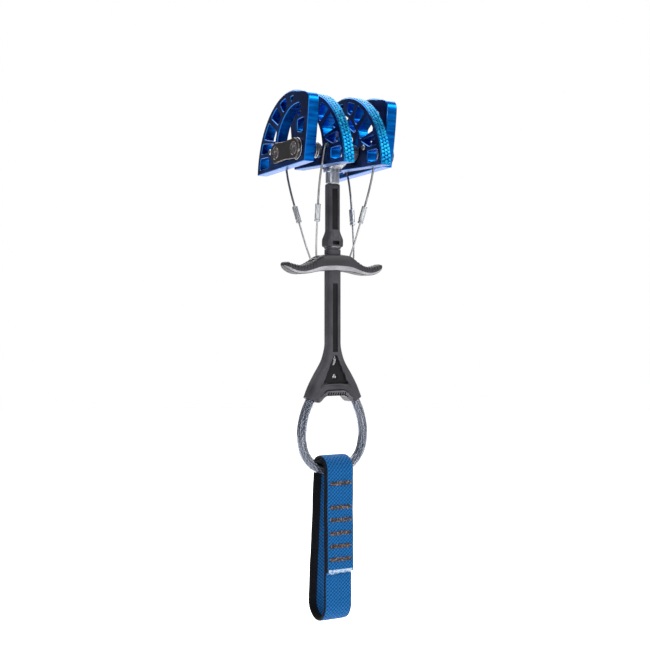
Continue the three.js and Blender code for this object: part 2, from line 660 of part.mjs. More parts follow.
const addSling = () => {
  const top = [0, LOOP_BOTTOM];
  const fold = [SLING_LEAN, SLING_FOLD_Z];
  const hole = [...arc(top, SLING_TOP_RADIUS, 0, 180, 10), ...arc(fold, SLING_FOLD_RADIUS, 180, 360, 12)];
  const crown = [];
  const steps = 12;
  for (let i = 0; i <= steps; i += 1) {
    const layers = 1 + Math.min(1, (2 * i) / steps);
    const [y, z] = polar(SLING_TOP_RADIUS + layers * WEB_THICKNESS, (180 * i) / steps);
    crown.push([y, LOOP_BOTTOM + z]);
  }
  const down = (LOOP_BOTTOM - SEWN_END_Z) / (LOOP_BOTTOM - SLING_FOLD_Z);
  const sewn = THREE.MathUtils.lerp(-SLING_TOP_RADIUS, SLING_LEAN - SLING_FOLD_RADIUS, down);
  const outline = [
    ...crown, [sewn - 2 * WEB_THICKNESS, SEWN_END_Z], [sewn - WEB_THICKNESS, SEWN_END_Z],
    ...arc(fold, SLING_FOLD_RADIUS + WEB_THICKNESS, 180, 360, 12),
  ];
  place('sling', alongX(outline, [hole], -SLING_WIDTH / 2, SLING_WIDTH / 2), BLUE_WEBBING);
};

// ---------------------------------------------------------------- build

addStemTerminal();
addStemCable();
addUpperSleeve();
addLowerSleeve();
addThumbRest();
addThumbLoop();
addTrigger();
addAxle('front_axle', -AXLE_Y);
addAxle('rear_axle', AXLE_Y);
for (const [sideName, side] of SIDES) {
  addEndPlate(sideName, side);
  addWasher(sideName, side);
  addSpacers(sideName, side);
  addSpring(sideName, side, 'inner', [HEAD_WIDTH / 2, INNER_LOBE_X], AXLE_Y);
  addSpring(sideName, side, 'outer', [INNER_LOBE_END, OUTER_LOBE_X], -AXLE_Y);
  for (const lobe of LOBES) {
    addLobe(sideName, side, lobe);
    addBead(sideName, side, lobe);
    addWire(sideName, side, lobe);
  }
}
addSling();

export default device;
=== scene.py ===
# A spring loaded camming device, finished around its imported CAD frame: machined blue cam
# lobes, moulded stem and trigger, sheathed cable loop and sewn webbing sling.
# Shapes are worked in millimetres and written in metres: +Z up the stem, +X along the axles.

import math
import random

import bmesh
import bpy
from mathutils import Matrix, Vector


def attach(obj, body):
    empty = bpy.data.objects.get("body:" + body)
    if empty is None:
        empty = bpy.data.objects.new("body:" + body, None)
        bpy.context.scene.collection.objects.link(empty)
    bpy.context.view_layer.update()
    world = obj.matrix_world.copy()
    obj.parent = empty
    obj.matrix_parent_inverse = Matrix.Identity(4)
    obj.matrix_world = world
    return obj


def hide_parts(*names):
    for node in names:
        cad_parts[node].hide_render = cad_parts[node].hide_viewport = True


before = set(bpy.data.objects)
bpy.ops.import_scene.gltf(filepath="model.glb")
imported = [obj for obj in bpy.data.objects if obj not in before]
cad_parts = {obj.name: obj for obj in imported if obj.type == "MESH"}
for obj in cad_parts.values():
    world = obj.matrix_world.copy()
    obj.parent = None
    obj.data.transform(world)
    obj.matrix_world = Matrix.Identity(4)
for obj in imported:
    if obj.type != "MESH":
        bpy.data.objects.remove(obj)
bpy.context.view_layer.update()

MM = 0.001
SIDES = {"left": -1, "right": 1}

# ---------------------------------------------------------------- sizes, in millimetres

CLEARANCE = 0.3
AXLE_SPACING = 24.4
AXLE_Y = AXLE_SPACING / 2
AXLE_RADIUS = 3.6
BORE_RADIUS = AXLE_RADIUS + CLEARANCE
AXLE_END = 34.9
SPACER_RADIUS = 5.2
PLATE_SPAN = (33.4, 35.2)
WASHER_SPAN = (32.5, 33.1)
LOBE_SPANS = {"inner": (9.6, 16.9), "outer": (24.9, 32.2)}
OPENS = {"inner": -1, "outer": 1}

CAM_ANGLE = math.radians(14.5)
TIP_RADIUS = 2.36 * AXLE_SPACING
TIP_ANGLE = -11
RIM_TOP_ANGLE = 90
RIM_WALL = 3.6
HUB_RADIUS = 7.6
SLOT_HALF = 4.1
SLOT_INNER = 20.3
SLOT_OUTER = 28.5
POCKET_FOOT = 31.6
SPOKE_SPANS = [(14.5, 30), (34, 48), (52.5, 66)]
WIRE_HOLE = (35.9, 2.2)
WIRE_HOLE_RADIUS = 1.2
LOBE_CHAMFER = 0.35
WINDOW_CORNER = 1.6
TOOTH_HEIGHT = 0.5
TOOTH_PITCH = 2.4
TOOTH_ROWS = 3

STUB_BOTTOM = -19
SOCKET_DEPTH = 9
STEM_CABLE_RADIUS = 2.6
STEM_CABLE_FOOT = -144
FLARE_TOP = -122
YOKE_BOTTOM = -159.5
YOKE_WIDTH = 39.6
STEM_WIDTH = 9.6
STEM_DEPTH = 7.6
SLEEVE_CORNER = 2.2
SLEEVE_SEAM = -61
UPPER_SLEEVE_TOP = -19.3
REST_TOP = -151.2

TRIGGER_HALF = 37
TRIGGER_TOP = -64.4
WIRE_FOOT_Z = -68.5
WIRE_FOOT_X = {"inner": 11.9, "outer": 15.9}
FERRULE_SPAN = (25.5, 37)
FERRULE_RADIUS = 1.8
WIRE_STAND = 1.6

LOOP_BOTTOM = -203.4
LOOP_ROUTE = [
    (6.4, -138), (10.4, -146.2), (16.2, -157.8), (20.4, -167.2), (22.5, -177), (22.5, -185),
    (20.3, -192.6), (14.8, -199.2), (7.8, -202.7),
]
LOOP_CABLE_RADIUS = 2.3
SHEATH_RADIUS = 3.2
SHEATH_BORE = 2.7

SLING_HALF = 10
WEB_HALF = 1.06
WEB_LAYER = 2.3
WEB_RIB = 2.3
WEB_COLUMN = 1.25
WEB_SLANT = 0.1
WEB_RELIEF = 0.09
BAND_START = 4.8
SLING_TOP_RADIUS = 5.6
SLING_FOLD_RADIUS = 9.2
SLING_FOLD_Z = -288.6
SLING_LEAN = 3.4
SEWN_END_Z = -267
TACK_HEIGHTS = [-210.6, -225.8, -233.8, -242.2, -250.5, -258.9]


# ---------------------------------------------------------------- camera, floor and light

def add_camera():
    azimuth, distance, height = math.radians(-30), 0.752, -0.1098
    away = Vector((math.sin(azimuth), -math.cos(azimuth), 0))
    lens = bpy.data.cameras.new("camera")
    lens.lens = 64.6
    lens.shift_x = -0.0115
    camera = bpy.data.objects.new("camera", lens)
    camera.location = away * distance + Vector((0, 0, height))
    camera.rotation_euler = (-away).to_track_quat("-Z", "Y").to_euler()
    bpy.context.collection.objects.link(camera)
    bpy.context.scene.camera = camera


def add_lamp(name, place, aim, size, power):
    lamp = bpy.data.lights.new(name, "AREA")
    lamp.shape = "DISK"
    lamp.size = size
    lamp.energy = power
    holder = bpy.data.objects.new(name, lamp)
    holder.location = place
    holder.rotation_euler = (Vector(aim) - Vector(place)).to_track_quat("-Z", "Y").to_euler()
    bpy.context.collection.objects.link(holder)


# ---------------------------------------------------------------- shader tools

def node(tree, kind, sockets=None, **settings):
    made = tree.nodes.new(kind)
    for key, value in settings.items():
        setattr(made, key, value)
    for key, value in (sockets or {}).items():
        if isinstance(value, bpy.types.NodeSocket):
            tree.links.new(value, made.inputs[key])
        else:
            made.inputs[key].default_value = value
    return made


def group(name, inputs, wire):
    """A shader group with these inputs. wire makes its nodes and gives back its outputs by name."""
    tree = bpy.data.node_groups.new(name, "ShaderNodeTree")
    for socket, value in inputs.items():
        kind = "NodeSocketVector" if isinstance(value, tuple) else "NodeSocketFloat"
        tree.interface.new_socket(socket, in_out="INPUT", socket_type=kind).default_value = value
    made = wire(tree, node(tree, "NodeGroupInput").outputs)
    for socket in made:
        tree.interface.new_socket(socket, in_out="OUTPUT", socket_type="NodeSocketFloat")
    node(tree, "NodeGroupOutput", made)
    return tree


def maths(tree, operation, first, second=0.0):
    return node(tree, "ShaderNodeMath", {0: first, 1: second}, operation=operation).outputs[0]


def ramp(tree, value, low, high):
    made = node(tree, "ShaderNodeMapRange", {"Value": value, "From Min": low, "From Max": high})
    return made.outputs["Result"]


def wave(tree, turns):
    return maths(tree, "SINE", maths(tree, "MULTIPLY", turns, math.tau))


def noise(tree, place, scale, detail, **sockets):
    given = {"Vector": place, "Scale": scale, "Detail": detail, **sockets}
    return node(tree, "ShaderNodeTexNoise", given).outputs["Fac"]


def object_place(tree):
    return node(tree, "ShaderNodeTexCoord").outputs["Object"]


def lay_place(tree):
    """Where a point lies on a cord or strap: X along it, Y across or round it, as the mesh keeps it."""
    lay = node(tree, "ShaderNodeAttribute", attribute_name="lay").outputs["Vector"]
    return lay, node(tree, "ShaderNodeSeparateXYZ", {0: lay}).outputs


def grain(tree, given):
    """Fine moulding or casting grain, with a slower drift of tone."""
    place = object_place(tree)
    drift = noise(tree, place, maths(tree, "DIVIDE", 1.0, given["Drift"]), 3.0)
    return {"Height": noise(tree, place, maths(tree, "DIVIDE", 1.0, given["Size"]), 2.0),
            "Tone": ramp(tree, drift, 0.35, 0.65)}


def brushing(tree, given):
    """Lines left by a tool or a polishing wheel: a noise drawn out along one direction."""
    drawn = node(tree, "ShaderNodeVectorMath", {0: object_place(tree), 1: given["Stretch"]},
                 operation="MULTIPLY").outputs[0]
    lines = noise(tree, drawn, 1.0, 4.0)
    return {"Lines": ramp(tree, lines, 0.3, 0.7), "Height": lines}


def scuffs(tree, given):
    """Rub marks and small bright nicks, sparse and uneven."""
    scale = maths(tree, "DIVIDE", 1.0, given["Size"])
    patch = noise(tree, object_place(tree), scale, 6.0, Roughness=0.7)
    edge = maths(tree, "SUBTRACT", 0.75, maths(tree, "MULTIPLY", given["Cover"], 0.3))
    return {"Marks": ramp(tree, maths(tree, "SUBTRACT", patch, edge), 0.0, 0.08)}


def weave(tree, given):
    """Webbing: short slanted floats of thread in columns, every other column half a rib on."""
    lay, parts = lay_place(tree)
    from_edge = maths(tree, "ADD", parts["Y"], 2 * SLING_HALF * MM)
    across = maths(tree, "DIVIDE", from_edge, WEB_COLUMN * MM)
    column = maths(tree, "FLOOR", across)
    lean = maths(tree, "MULTIPLY", maths(tree, "FRACT", across), given["Slant"])
    shift = maths(tree, "ADD", maths(tree, "MULTIPLY", column, 0.5), lean)
    turns = maths(tree, "ADD", maths(tree, "DIVIDE", parts["X"], given["Rib"]), shift)
    rib = wave(tree, turns)
    thread = wave(tree, maths(tree, "DIVIDE", parts["Y"], given["Thread"]))
    # The tone is lightest on the floats' crowns and darkest between them: painted highlight and painted
    # shade, with random fuzz mixed in.
    both = maths(tree, "MULTIPLY", ramp(tree, rib, -0.7, 0.6), ramp(tree, thread, -1.2, 0.4))
    fuzz = noise(tree, lay, 900.0, 3.0)
    mixed = maths(tree, "ADD", maths(tree, "MULTIPLY", both, 0.75), maths(tree, "MULTIPLY", fuzz, 0.3))
    return {"Height": both, "Threads": mixed}


def twist(tree, given):
    """Fine wires laid round a strand at a slant. Its tone mask is a painted highlight on each wire's crown
    and painted shade between the wires.
    """
    parts = lay_place(tree)[1]
    round_it = maths(tree, "MULTIPLY", parts["Y"], given["Wires"])
    along = maths(tree, "DIVIDE", parts["X"], given["Lay"])
    crown = maths(tree, "ABSOLUTE", wave(tree, maths(tree, "ADD", round_it, along)))
    return {"Height": crown, "Wires": ramp(tree, crown, 0.1, 0.7)}


GRAIN = group("grain", {"Size": 0.0006, "Drift": 0.02}, grain)
BRUSHING = group("brushing", {"Stretch": (1.0, 1.0, 1.0)}, brushing)
SCUFFS = group("scuffs", {"Size": 0.004, "Cover": 0.3}, scuffs)
WEAVE = group("weave", {"Rib": WEB_RIB * MM, "Thread": 0.0008, "Slant": WEB_SLANT}, weave)
TWIST = group("twist", {"Wires": 7.0, "Lay": 0.006}, twist)


def linear(colour):
    """A screen colour given as 0 to 255, as the shader's own light values."""
    parts = [channel / 255 for channel in colour]
    return (*[p / 12.92 if p <= 0.04045 else ((p + 0.055) / 1.055) ** 2.4 for p in parts], 1.0)


def placed(tree, effect, values):
    made = node(tree, "ShaderNodeGroup", node_tree=effect)
    for key, value in values.items():
        made.inputs[key].default_value = value
    return made.outputs


def finish(name, low, high, roughness, mask, relief=None, **fixed):
    """A surface of two tones and two roughnesses parted by a mask, with fine relief."""
    made = bpy.data.materials.new(name)
    made.use_nodes = True
    tree = made.node_tree
    shader = tree.nodes["Principled BSDF"]
    effect, output, values = mask
    part = placed(tree, effect, values)[output]
    tone = node(tree, "ShaderNodeMix", {"Factor": part, 6: linear(low), 7: linear(high)}, data_type="RGBA")
    tree.links.new(tone.outputs[2], shader.inputs["Base Color"])
    rough = node(tree, "ShaderNodeMapRange", {"Value": part, "To Min": roughness[0], "To Max": roughness[1]})
    tree.links.new(rough.outputs["Result"], shader.inputs["Roughness"])
    if relief:
        effect, output, values, depth = relief
        height = placed(tree, effect, values)[output]
        bump = node(tree, "ShaderNodeBump", {"Height": height, "Distance": depth * MM, "Strength": 0.8})
        tree.links.new(bump.outputs["Normal"], shader.inputs["Normal"])
    for socket, value in fixed.items():
        shader.inputs[socket.replace("_", " ")].default_value = value
    return made


def toned(drift):
    return GRAIN, "Tone", {"Drift": drift}


def scuffed(size, cover):
    return SCUFFS, "Marks", {"Size": size, "Cover": cover}


def lined(*stretch):
    return BRUSHING, "Lines", {"Stretch": stretch}


def stranded(wires, lay, depth):
    """The mask and the relief of wires laid round a strand."""
    values = {"Wires": wires, "Lay": lay}
    return (TWIST, "Wires", values), (TWIST, "Height", values, depth)


MACHINED = (BRUSHING, "Height", {"Stretch": (40.0, 900.0, 900.0)}, 0.03)
DRAWN = (BRUSHING, "Height", {"Stretch": (1400.0, 1400.0, 40.0)}, 0.08)
FINE_GRAIN = (GRAIN, "Height", {"Size": 0.0005}, 0.05)

# The lobes' faces, walls and rim are copies of one blue anodising: the faces darker as painted shade, the
# walls and rim lighter as painted light; the rim's scuffs are wear.
lobe_face_shaded = finish("blue_anodised_face_shaded", (14, 40, 92), (24, 62, 122), (0.36, 0.5),
                   toned(0.012), FINE_GRAIN, Metallic=1.0)
# The chamfers' light blue is a painted highlight along every edge, over scuff marks of wear.
lobe_edge_highlit = finish("blue_anodised_edge_worn_and_highlit", (20, 90, 160), (74, 150, 206), (0.3, 0.42),
                   scuffed(0.003, 0.5), Metallic=0.9)
lobe_wall_lit = finish("blue_anodised_wall_lit", (0, 62, 138), (4, 106, 190), (0.26, 0.36),
                   lined(60.0, 500.0, 500.0), MACHINED, Metallic=1.0)
lobe_rim_lit = finish("blue_anodised_rim_lit", (2, 96, 146), (28, 152, 192), (0.36, 0.5),
                  scuffed(0.002, 0.8), FINE_GRAIN, Metallic=0.95)
axle_steel = finish("turned_axle_steel", (104, 100, 104), (150, 146, 150), (0.25, 0.42),
                    lined(30.0, 1200.0, 1200.0), MACHINED, Metallic=0.9)
stub_steel = finish("drawn_stem_steel", (128, 131, 136), (190, 192, 196), (0.22, 0.4),
                    lined(1400.0, 1400.0, 40.0), DRAWN, Metallic=0.9)
bright_steel = finish("bright_steel", (178, 181, 184), (222, 224, 226), (0.24, 0.38),
                      scuffed(0.002, 0.6), FINE_GRAIN, Metallic=0.9)
# The spring steel, also used for the beads, is made light to offset the shade between the lobes: painted
# light.
spring_steel = finish("spring_steel", (160, 161, 164), (212, 213, 215), (0.3, 0.45),
                      scuffed(0.002, 0.6), FINE_GRAIN, Metallic=0.9)
plate_black = finish("black_end_plate", (50, 48, 49), (104, 102, 103), (0.34, 0.5),
                     scuffed(0.0025, 0.35), FINE_GRAIN, Metallic=0.6)
# The end plates' chamfers and sides are lighter than their faces: a painted highlight along the edges, with
# scuff marks of wear.
plate_edge_worn_and_highlit = finish("worn_and_highlit_plate_edge", (66, 62, 62), (140, 136, 136), (0.3, 0.45),
                    scuffed(0.0015, 0.8), Metallic=0.75)
stem_plastic = finish("black_stem_plastic", (42, 41, 46), (58, 57, 63), (0.44, 0.58),
                      toned(0.015), FINE_GRAIN, Specular_IOR_Level=0.3)
# A darker copy of the black plastic for the panels, collar slot, channel, yoke recess and rest grooves:
# painted shade in the recesses.
recess_shade_plastic = finish("black_plastic_recess_shade", (12, 11, 15), (20, 19, 24), (0.55, 0.68),
                        toned(0.01), FINE_GRAIN, Specular_IOR_Level=0.15)
trigger_plastic = finish("black_trigger_plastic", (32, 31, 36), (44, 43, 48), (0.46, 0.58),
                         toned(0.015), FINE_GRAIN, Specular_IOR_Level=0.35)
# Pale plastic as a painted highlight: the trigger's foot chamfers and a band at the collar's lower lip, lit
# from below.
highlight_plastic = finish("pale_highlight_plastic", (116, 115, 120), (150, 149, 154), (0.4, 0.52),
                      toned(0.014), FINE_GRAIN)
rest_plastic = finish("grey_rest_plastic", (60, 59, 64), (82, 81, 86), (0.42, 0.56),
                      toned(0.008), FINE_GRAIN, Specular_IOR_Level=0.4)
# The cables' tones follow the wires: painted highlight on the crowns, painted shade between them; the loop
# cable's near-black low tone is painted shade for the sheath's dark edges.
cable_steel = finish("cable_strand_steel", (18, 20, 28), (224, 226, 232), (0.26, 0.4),
                     *stranded(2.0, 0.006, 0.12), Metallic=0.85)
thin_cable = finish("thin_cable_steel", (100, 100, 103), (172, 172, 175), (0.3, 0.4),
                    *stranded(3.0, 0.0022, 0.08), Metallic=0.8)
wire_steel = finish("pull_wire_steel", (92, 92, 96), (132, 132, 135), (0.25, 0.38),
                    lined(900.0, 900.0, 60.0), FINE_GRAIN, Metallic=0.9)
ferrule_metal = finish("ferrule_metal", (128, 130, 134), (176, 178, 181), (0.28, 0.4),
                       lined(900.0, 900.0, 90.0), FINE_GRAIN, Metallic=0.75)
sheath_clear = finish("clear_sheath", (186, 190, 199), (212, 215, 222), (0.01, 0.04),
                      scuffed(0.006, 0.4), Transmission_Weight=1.0, IOR=1.4)
# Both webbing tones follow the weave: painted highlight on the floats, painted shade in the gaps.
webbing = finish("blue_webbing", (0, 20, 68), (16, 124, 198), (0.62, 0.8), (WEAVE, "Threads", {}),
                 (WEAVE, "Height", {}, 0.45), Sheen_Weight=0.02, Specular_IOR_Level=0.12)
webbing_band = finish("dark_webbing_band", (4, 6, 11), (15, 20, 29), (0.65, 0.8), (WEAVE, "Threads", {}),
                      (WEAVE, "Height", {}, 0.2), Sheen_Weight=0.02, Specular_IOR_Level=0.1)
tack_thread = finish("tack_thread", (26, 20, 22), (150, 128, 122), (0.55, 0.7), scuffed(0.0009, 0.75),
                     stranded(2.0, 0.0008, 0.05)[1], Sheen_Weight=0.1, Specular_IOR_Level=0.25)
cut_fibre = finish("cut_webbing_fibre", (84, 142, 196), (206, 224, 238), (0.55, 0.7),
                   scuffed(0.001, 1.1), (WEAVE, "Height", {}, 0.1), Sheen_Weight=0.1)
floor_paint = finish("pale_floor", (242, 242, 242), (248, 248, 248), (0.75, 0.85),
                     toned(0.4), Emission_Color=(1, 1, 1, 1), Emission_Strength=0.5)


# ---------------------------------------------------------------- mesh tools

# the least angle, in degrees, that shows as an edge
TURNED_SMOOTH = 32
PLATE_SMOOTH = 30


class Skin:
    """One piece's points and faces in millimetres, before it becomes a mesh."""

    def __init__(self):
        self.points = []
        self.faces = []
        self.finishes = []
        self.lays = []

    def ring(self, points):
        start = len(self.points)
        self.points.extend(Vector(p) for p in points)
        return range(start, len(self.points))

    def face(self, corners, material=0, lays=None):
        self.faces.append(tuple(corners))
        self.finishes.append(material)
        self.lays.append(lays or [(0.0, 0.0)] * len(corners))

    def tube(self, rings, along, finish_at=None, closed=False):
        """Joins equal rings into a skin. along gives each ring's distance from the start, and
        finish_at the material's number at a ring and a corner of it."""
        count = len(rings[0])
        pairs = list(zip(range(len(rings)), range(1, len(rings))))
        if closed:
            pairs.append((len(rings) - 1, 0))
        for a, b in pairs:
            far = along[b] if b else along[a] + (along[1] - along[0])
            for i in range(count):
                j = (i + 1) % count
                spots = [(along[a], i), (along[a], i + 1), (far, i + 1), (far, i)]
                self.face((rings[a][i], rings[a][j], rings[b][j], rings[b][i]),
                          finish_at(a, i) if finish_at else 0, [(s * MM, k / count) for s, k in spots])

    def cap(self, rings):
        """Closes both ends of a tube."""
        self.face(rings[0])
        self.face(rings[-1])

    def build(self, name, materials, smooth=38):
        mesh = bpy.data.meshes.new(name)
        mesh.from_pydata([p * MM for p in self.points], [], self.faces)
        for material in materials:
            mesh.materials.append(material)
        mesh.polygons.foreach_set("material_index", self.finishes)
        lay = mesh.attributes.new("lay", "FLOAT_VECTOR", "CORNER")
        flat = [value for corners in self.lays for s, t in corners for value in (s, t, 0.0)]
        lay.data.foreach_set("vector", flat)
        return shaded(name, mesh, smooth)


def shade(mesh, degrees):
    """Smooth shading, with a sharp edge wherever faces meet at more than this angle."""
    mesh.polygons.foreach_set("use_smooth", [True] * len(mesh.polygons))
    mesh.set_sharp_from_angle(angle=math.radians(degrees))


def shaded(name, mesh, smooth):
    tidy = bmesh.new()
    tidy.from_mesh(mesh)
    bmesh.ops.recalc_face_normals(tidy, faces=tidy.faces)
    tidy.to_mesh(mesh)
    tidy.free()
    shade(mesh, smooth)
    made = bpy.data.objects.new(name, mesh)
    bpy.context.collection.objects.link(made)
    return made


def settle(piece, body, slot, *nodes):
    """The piece rides on its body and stands for these CAD nodes. The slot is not used."""
    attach(piece, body)
    if nodes:
        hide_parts(*nodes)
    return piece


def polar(radius, degrees):
    angle = math.radians(degrees)
    return (radius * math.cos(angle), radius * math.sin(angle))


def arc(centre, radius, start, end, steps):
    spots = [polar(radius, start + (end - start) * i / steps) for i in range(steps + 1)]
    return [(centre[0] + x, centre[1] + y) for x, y in spots]


def circle(centre, radius, sides):
    return arc(centre, radius, 0, 360, sides)[:-1]


def bezier(a, b, c, d, steps):
    points = []
    for i in range(steps + 1):
        t = i / steps
        weights = ((1 - t) ** 3, 3 * t * (1 - t) ** 2, 3 * t * t * (1 - t), t ** 3)
        points.append(tuple(sum(w * p[k] for w, p in zip(weights, (a, b, c, d))) for k in (0, 1)))
    return points


def round_corner(before, corner, after, radius):
    before, corner, after = Vector(before), Vector(corner), Vector(after)
    reach = min(radius, (before - corner).length / 3, (after - corner).length / 3)
    start = corner + (before - corner).normalized() * reach
    end = corner + (after - corner).normalized() * reach
    return [tuple(start * (1 - t) ** 2 + corner * (2 * t * (1 - t)) + end * t * t)
            for t in (0, 0.25, 0.5, 0.75, 1)]


def rounded(corners, radius):
    count = len(corners)
    return [p for i in range(count)
            for p in round_corner(corners[i - 1], corners[i], corners[(i + 1) % count], radius)]


def rounded_run(run, radius):
    return [p for before, corner, after in zip(run, run[1:], run[2:])
            for p in round_corner(before, corner, after, radius)]


def mirrored(half):
    return [*half, *[(-x, y) for x, y in reversed(half)]]


def signed_area(loop):
    return sum(a[0] * b[1] - b[0] * a[1] for a, b in zip(loop, [*loop[1:], loop[0]])) / 2


def turned_to(loop, sign):
    return loop if signed_area(loop) * sign > 0 else loop[::-1]


def inward(loop, distance):
    """Each point moved towards the solid, which lies to the left of the way round."""
    moved = []
    for i, here in enumerate(loop):
        before, after = Vector(loop[i - 1]), Vector(loop[(i + 1) % len(loop)])
        first = (Vector(here) - before).normalized()
        second = (after - Vector(here)).normalized()
        normal = Vector((-first.y - second.y, first.x + second.x))
        if normal.length < 1e-6:
            normal = Vector((-first.y, first.x))
        normal.normalize()
        lean = max(0.5, normal.dot(Vector((-first.y, first.x))))
        moved.append(tuple(Vector(here) + normal * (distance / lean)))
    return moved


# On lobes and end plates the chamfers and walls take lighter finishes than the flat faces: painted highlight
# and painted light.
EDGE, WALL, TREAD = 1, 2, 3  # materials of a plate; its flat faces keep the first


def plate(name, outline, holes, near, far, place, chamfer, materials, tread=None):
    """A flat piece cut to an outline, chamfered along every edge. place turns (a, b, depth)
    into a point. tread says where across the rim its rows lie, how each is raised, and which
    of the outline's points are on the rim."""
    skin = bmesh.new()
    end_edges = ([], [])
    for number, loop in enumerate([turned_to(outline, 1), *[turned_to(hole, -1) for hole in holes]]):
        inner = inward(loop, chamfer)
        rows = [(near, inner), (near + chamfer, loop)]
        toothed = tread if number == 0 else None
        if toothed:
            width = far - near - 2 * chamfer
            rows += [(near + chamfer + share * width, toothed["raise"](loop, row))
                     for row, share in enumerate(toothed["rows"])]
        rows += [(far - chamfer, loop), (far, inner)]
        rings = [[skin.verts.new(place(a, b, depth) * MM) for a, b in points] for depth, points in rows]
        for level in range(len(rings) - 1):
            low, high = rings[level], rings[level + 1]
            at_edge = level in (0, len(rings) - 2)
            for i in range(len(loop)):
                j = (i + 1) % len(loop)
                face = skin.faces.new((low[i], low[j], high[j], high[i]))
                on_rim = toothed and toothed["from"] <= i < toothed["to"]
                face.material_index = EDGE if at_edge else (TREAD if on_rim else WALL)
        for edges, ring in zip(end_edges, (rings[0], rings[-1])):
            edges.extend(skin.edges.get((ring[i], ring[(i + 1) % len(ring)])) for i in range(len(ring)))
    for edges in end_edges:
        bmesh.ops.triangle_fill(skin, use_beauty=True, edges=edges)
    mesh = bpy.data.meshes.new(name)
    skin.to_mesh(mesh)
    skin.free()
    for material in materials:
        mesh.materials.append(material)
    return shaded(name, mesh, PLATE_SMOOTH)


def route_through(points, step):
    """A smooth line through the points, cut into equal steps."""
    points = [Vector(p) for p in points]
    ends = [2 * points[0] - points[1], *points, 2 * points[-1] - points[-2]]
    fine = []
    for p0, p1, p2, p3 in zip(ends, ends[1:], ends[2:], ends[3:]):
        t1 = (p1 - p0).length ** 0.5
        t2 = t1 + (p2 - p1).length ** 0.5
        t3 = t2 + (p3 - p2).length ** 0.5
        for i in range(24):
            t = t1 + (t2 - t1) * i / 24
            a1 = p0.lerp(p1, t / t1)
            a2 = p1.lerp(p2, (t - t1) / (t2 - t1))
            a3 = p2.lerp(p3, (t - t2) / (t3 - t2))
            b1 = a1.lerp(a2, t / t2)
            b2 = a2.lerp(a3, (t - t1) / (t3 - t1))
            fine.append(b1.lerp(b2, (t - t1) / (t2 - t1)))
    fine.append(points[-1])
    return even_steps(fine, step)


def even_steps(points, step):
    lengths = distances(points)
    count = max(2, round(lengths[-1] / step))
    spots = []
    k = 0
    for i in range(count + 1):
        target = lengths[-1] * i / count
        while k < len(points) - 2 and lengths[k + 1] < target:
            k += 1
        share = (target - lengths[k]) / max(1e-9, lengths[k + 1] - lengths[k])
        spots.append(points[k].lerp(points[k + 1], share))
    return spots


def distances(route):
    total = [0.0]
    for a, b in zip(route, route[1:]):
        total.append(total[-1] + (b - a).length)
    return total


def tangents_of(route):
    last = len(route) - 1
    return [(route[min(i + 1, last)] - route[max(i - 1, 0)]).normalized() for i in range(last + 1)]


def carried_frames(route):
    """Two directions square to the line at each point, carried along it without a twist."""
    tangents = tangents_of(route)
    side = tangents[0].orthogonal().normalized()
    frames = []
    for tangent in tangents:
        side = (side - tangent * side.dot(tangent)).normalized()
        frames.append((side, tangent.cross(side)))
    return frames


def hoop(centre, u, v, radius, sides):
    return [centre + u * x + v * y for x, y in circle((0, 0), radius, sides)]


def sweep(skin, route, radius, sides):
    """Adds a round rod along a line."""
    rings = [skin.ring(hoop(point, u, v, radius, sides))
             for point, (u, v) in zip(route, carried_frames(route))]
    skin.tube(rings, distances(route))
    skin.cap(rings)


def add_strands(skin, route, radius, lay, sides):
    """A wire rope: six strands laid round a core, all touching."""
    strand, count = radius / 3, 6
    along = distances(route)
    frames = carried_frames(route)
    sweep(skin, route, strand, sides)
    for k in range(count):
        line = []
        for point, (u, v), s in zip(route, frames, along):
            x, y = polar(2 * strand, 360 * (s / lay + k / count))
            line.append(point + u * x + v * y)
        sweep(skin, line, strand * 1.03, sides)


def turned(name, start, end, profile, sides, material, ring=False):
    """A lathe-turned piece, or a ring. profile lists (radius, distance) from start towards end."""
    start, end = Vector(start), Vector(end)
    axis = (end - start).normalized()
    u = axis.orthogonal().normalized()
    v = axis.cross(u)
    skin = Skin()
    rings = [skin.ring(hoop(start + axis * s, u, v, r, sides)) for r, s in profile]
    skin.tube(rings, [s for r, s in profile], closed=ring)
    if not ring:
        skin.cap(rings)
    return skin.build(name, [material], TURNED_SMOOTH)


def both_ends(profile, length):
    """A profile that ends as it starts."""
    return [*profile, *[(r, length - s) for r, s in reversed(profile)]]


def worked(piece, operation, *tools):
    """Cuts the tools from the piece, or joins them to it, and removes them."""
    for tool in tools:
        step = piece.modifiers.new("work", "BOOLEAN")
        step.operation = operation
        step.solver = "EXACT"
        step.object = tool
    bpy.context.view_layer.update()
    done = bpy.data.meshes.new_from_object(piece.evaluated_get(bpy.context.evaluated_depsgraph_get()))
    piece.modifiers.clear()
    piece.data = done
    shade(done, TURNED_SMOOTH)
    for tool in tools:
        bpy.data.objects.remove(tool)
    return piece


def block(outline, low, high, place=lambda a, b, depth: Vector((a, b, depth))):
    """A plain cutting tool: an outline carried along one axis, which is Z unless place says."""
    skin = Skin()
    rings = [skin.ring(place(a, b, depth) for a, b in outline) for depth in (low, high)]
    skin.tube(rings, [low, high])
    skin.cap(rings)
    return skin.build("tool", [])


def box_outline(width, depth, corner):
    x, y = width / 2 - corner, depth / 2 - corner
    corners = [((x, y), 0), ((-x, y), 90), ((-x, -y), 180), ((x, -y), 270)]
    return [p for centre, start in corners for p in arc(centre, corner, start, start + 90, 4)]


def along_x(a, b, depth):
    return Vector((depth, a, b))


def along_y(a, b, depth):
    return Vector((a, depth, b))


def lerp(a, b, t):
    return a + (b - a) * t


def eased(t):
    t = max(0.0, min(1.0, t))
    return t * t * (3 - 2 * t)


def along_table(table, at):
    """A value read from (place, value) rows, straight between them."""
    for (a, low), (b, high) in zip(table, table[1:]):
        if at <= b:
            return lerp(low, high, max(0.0, (at - a) / (b - a)))
    return table[-1][1]


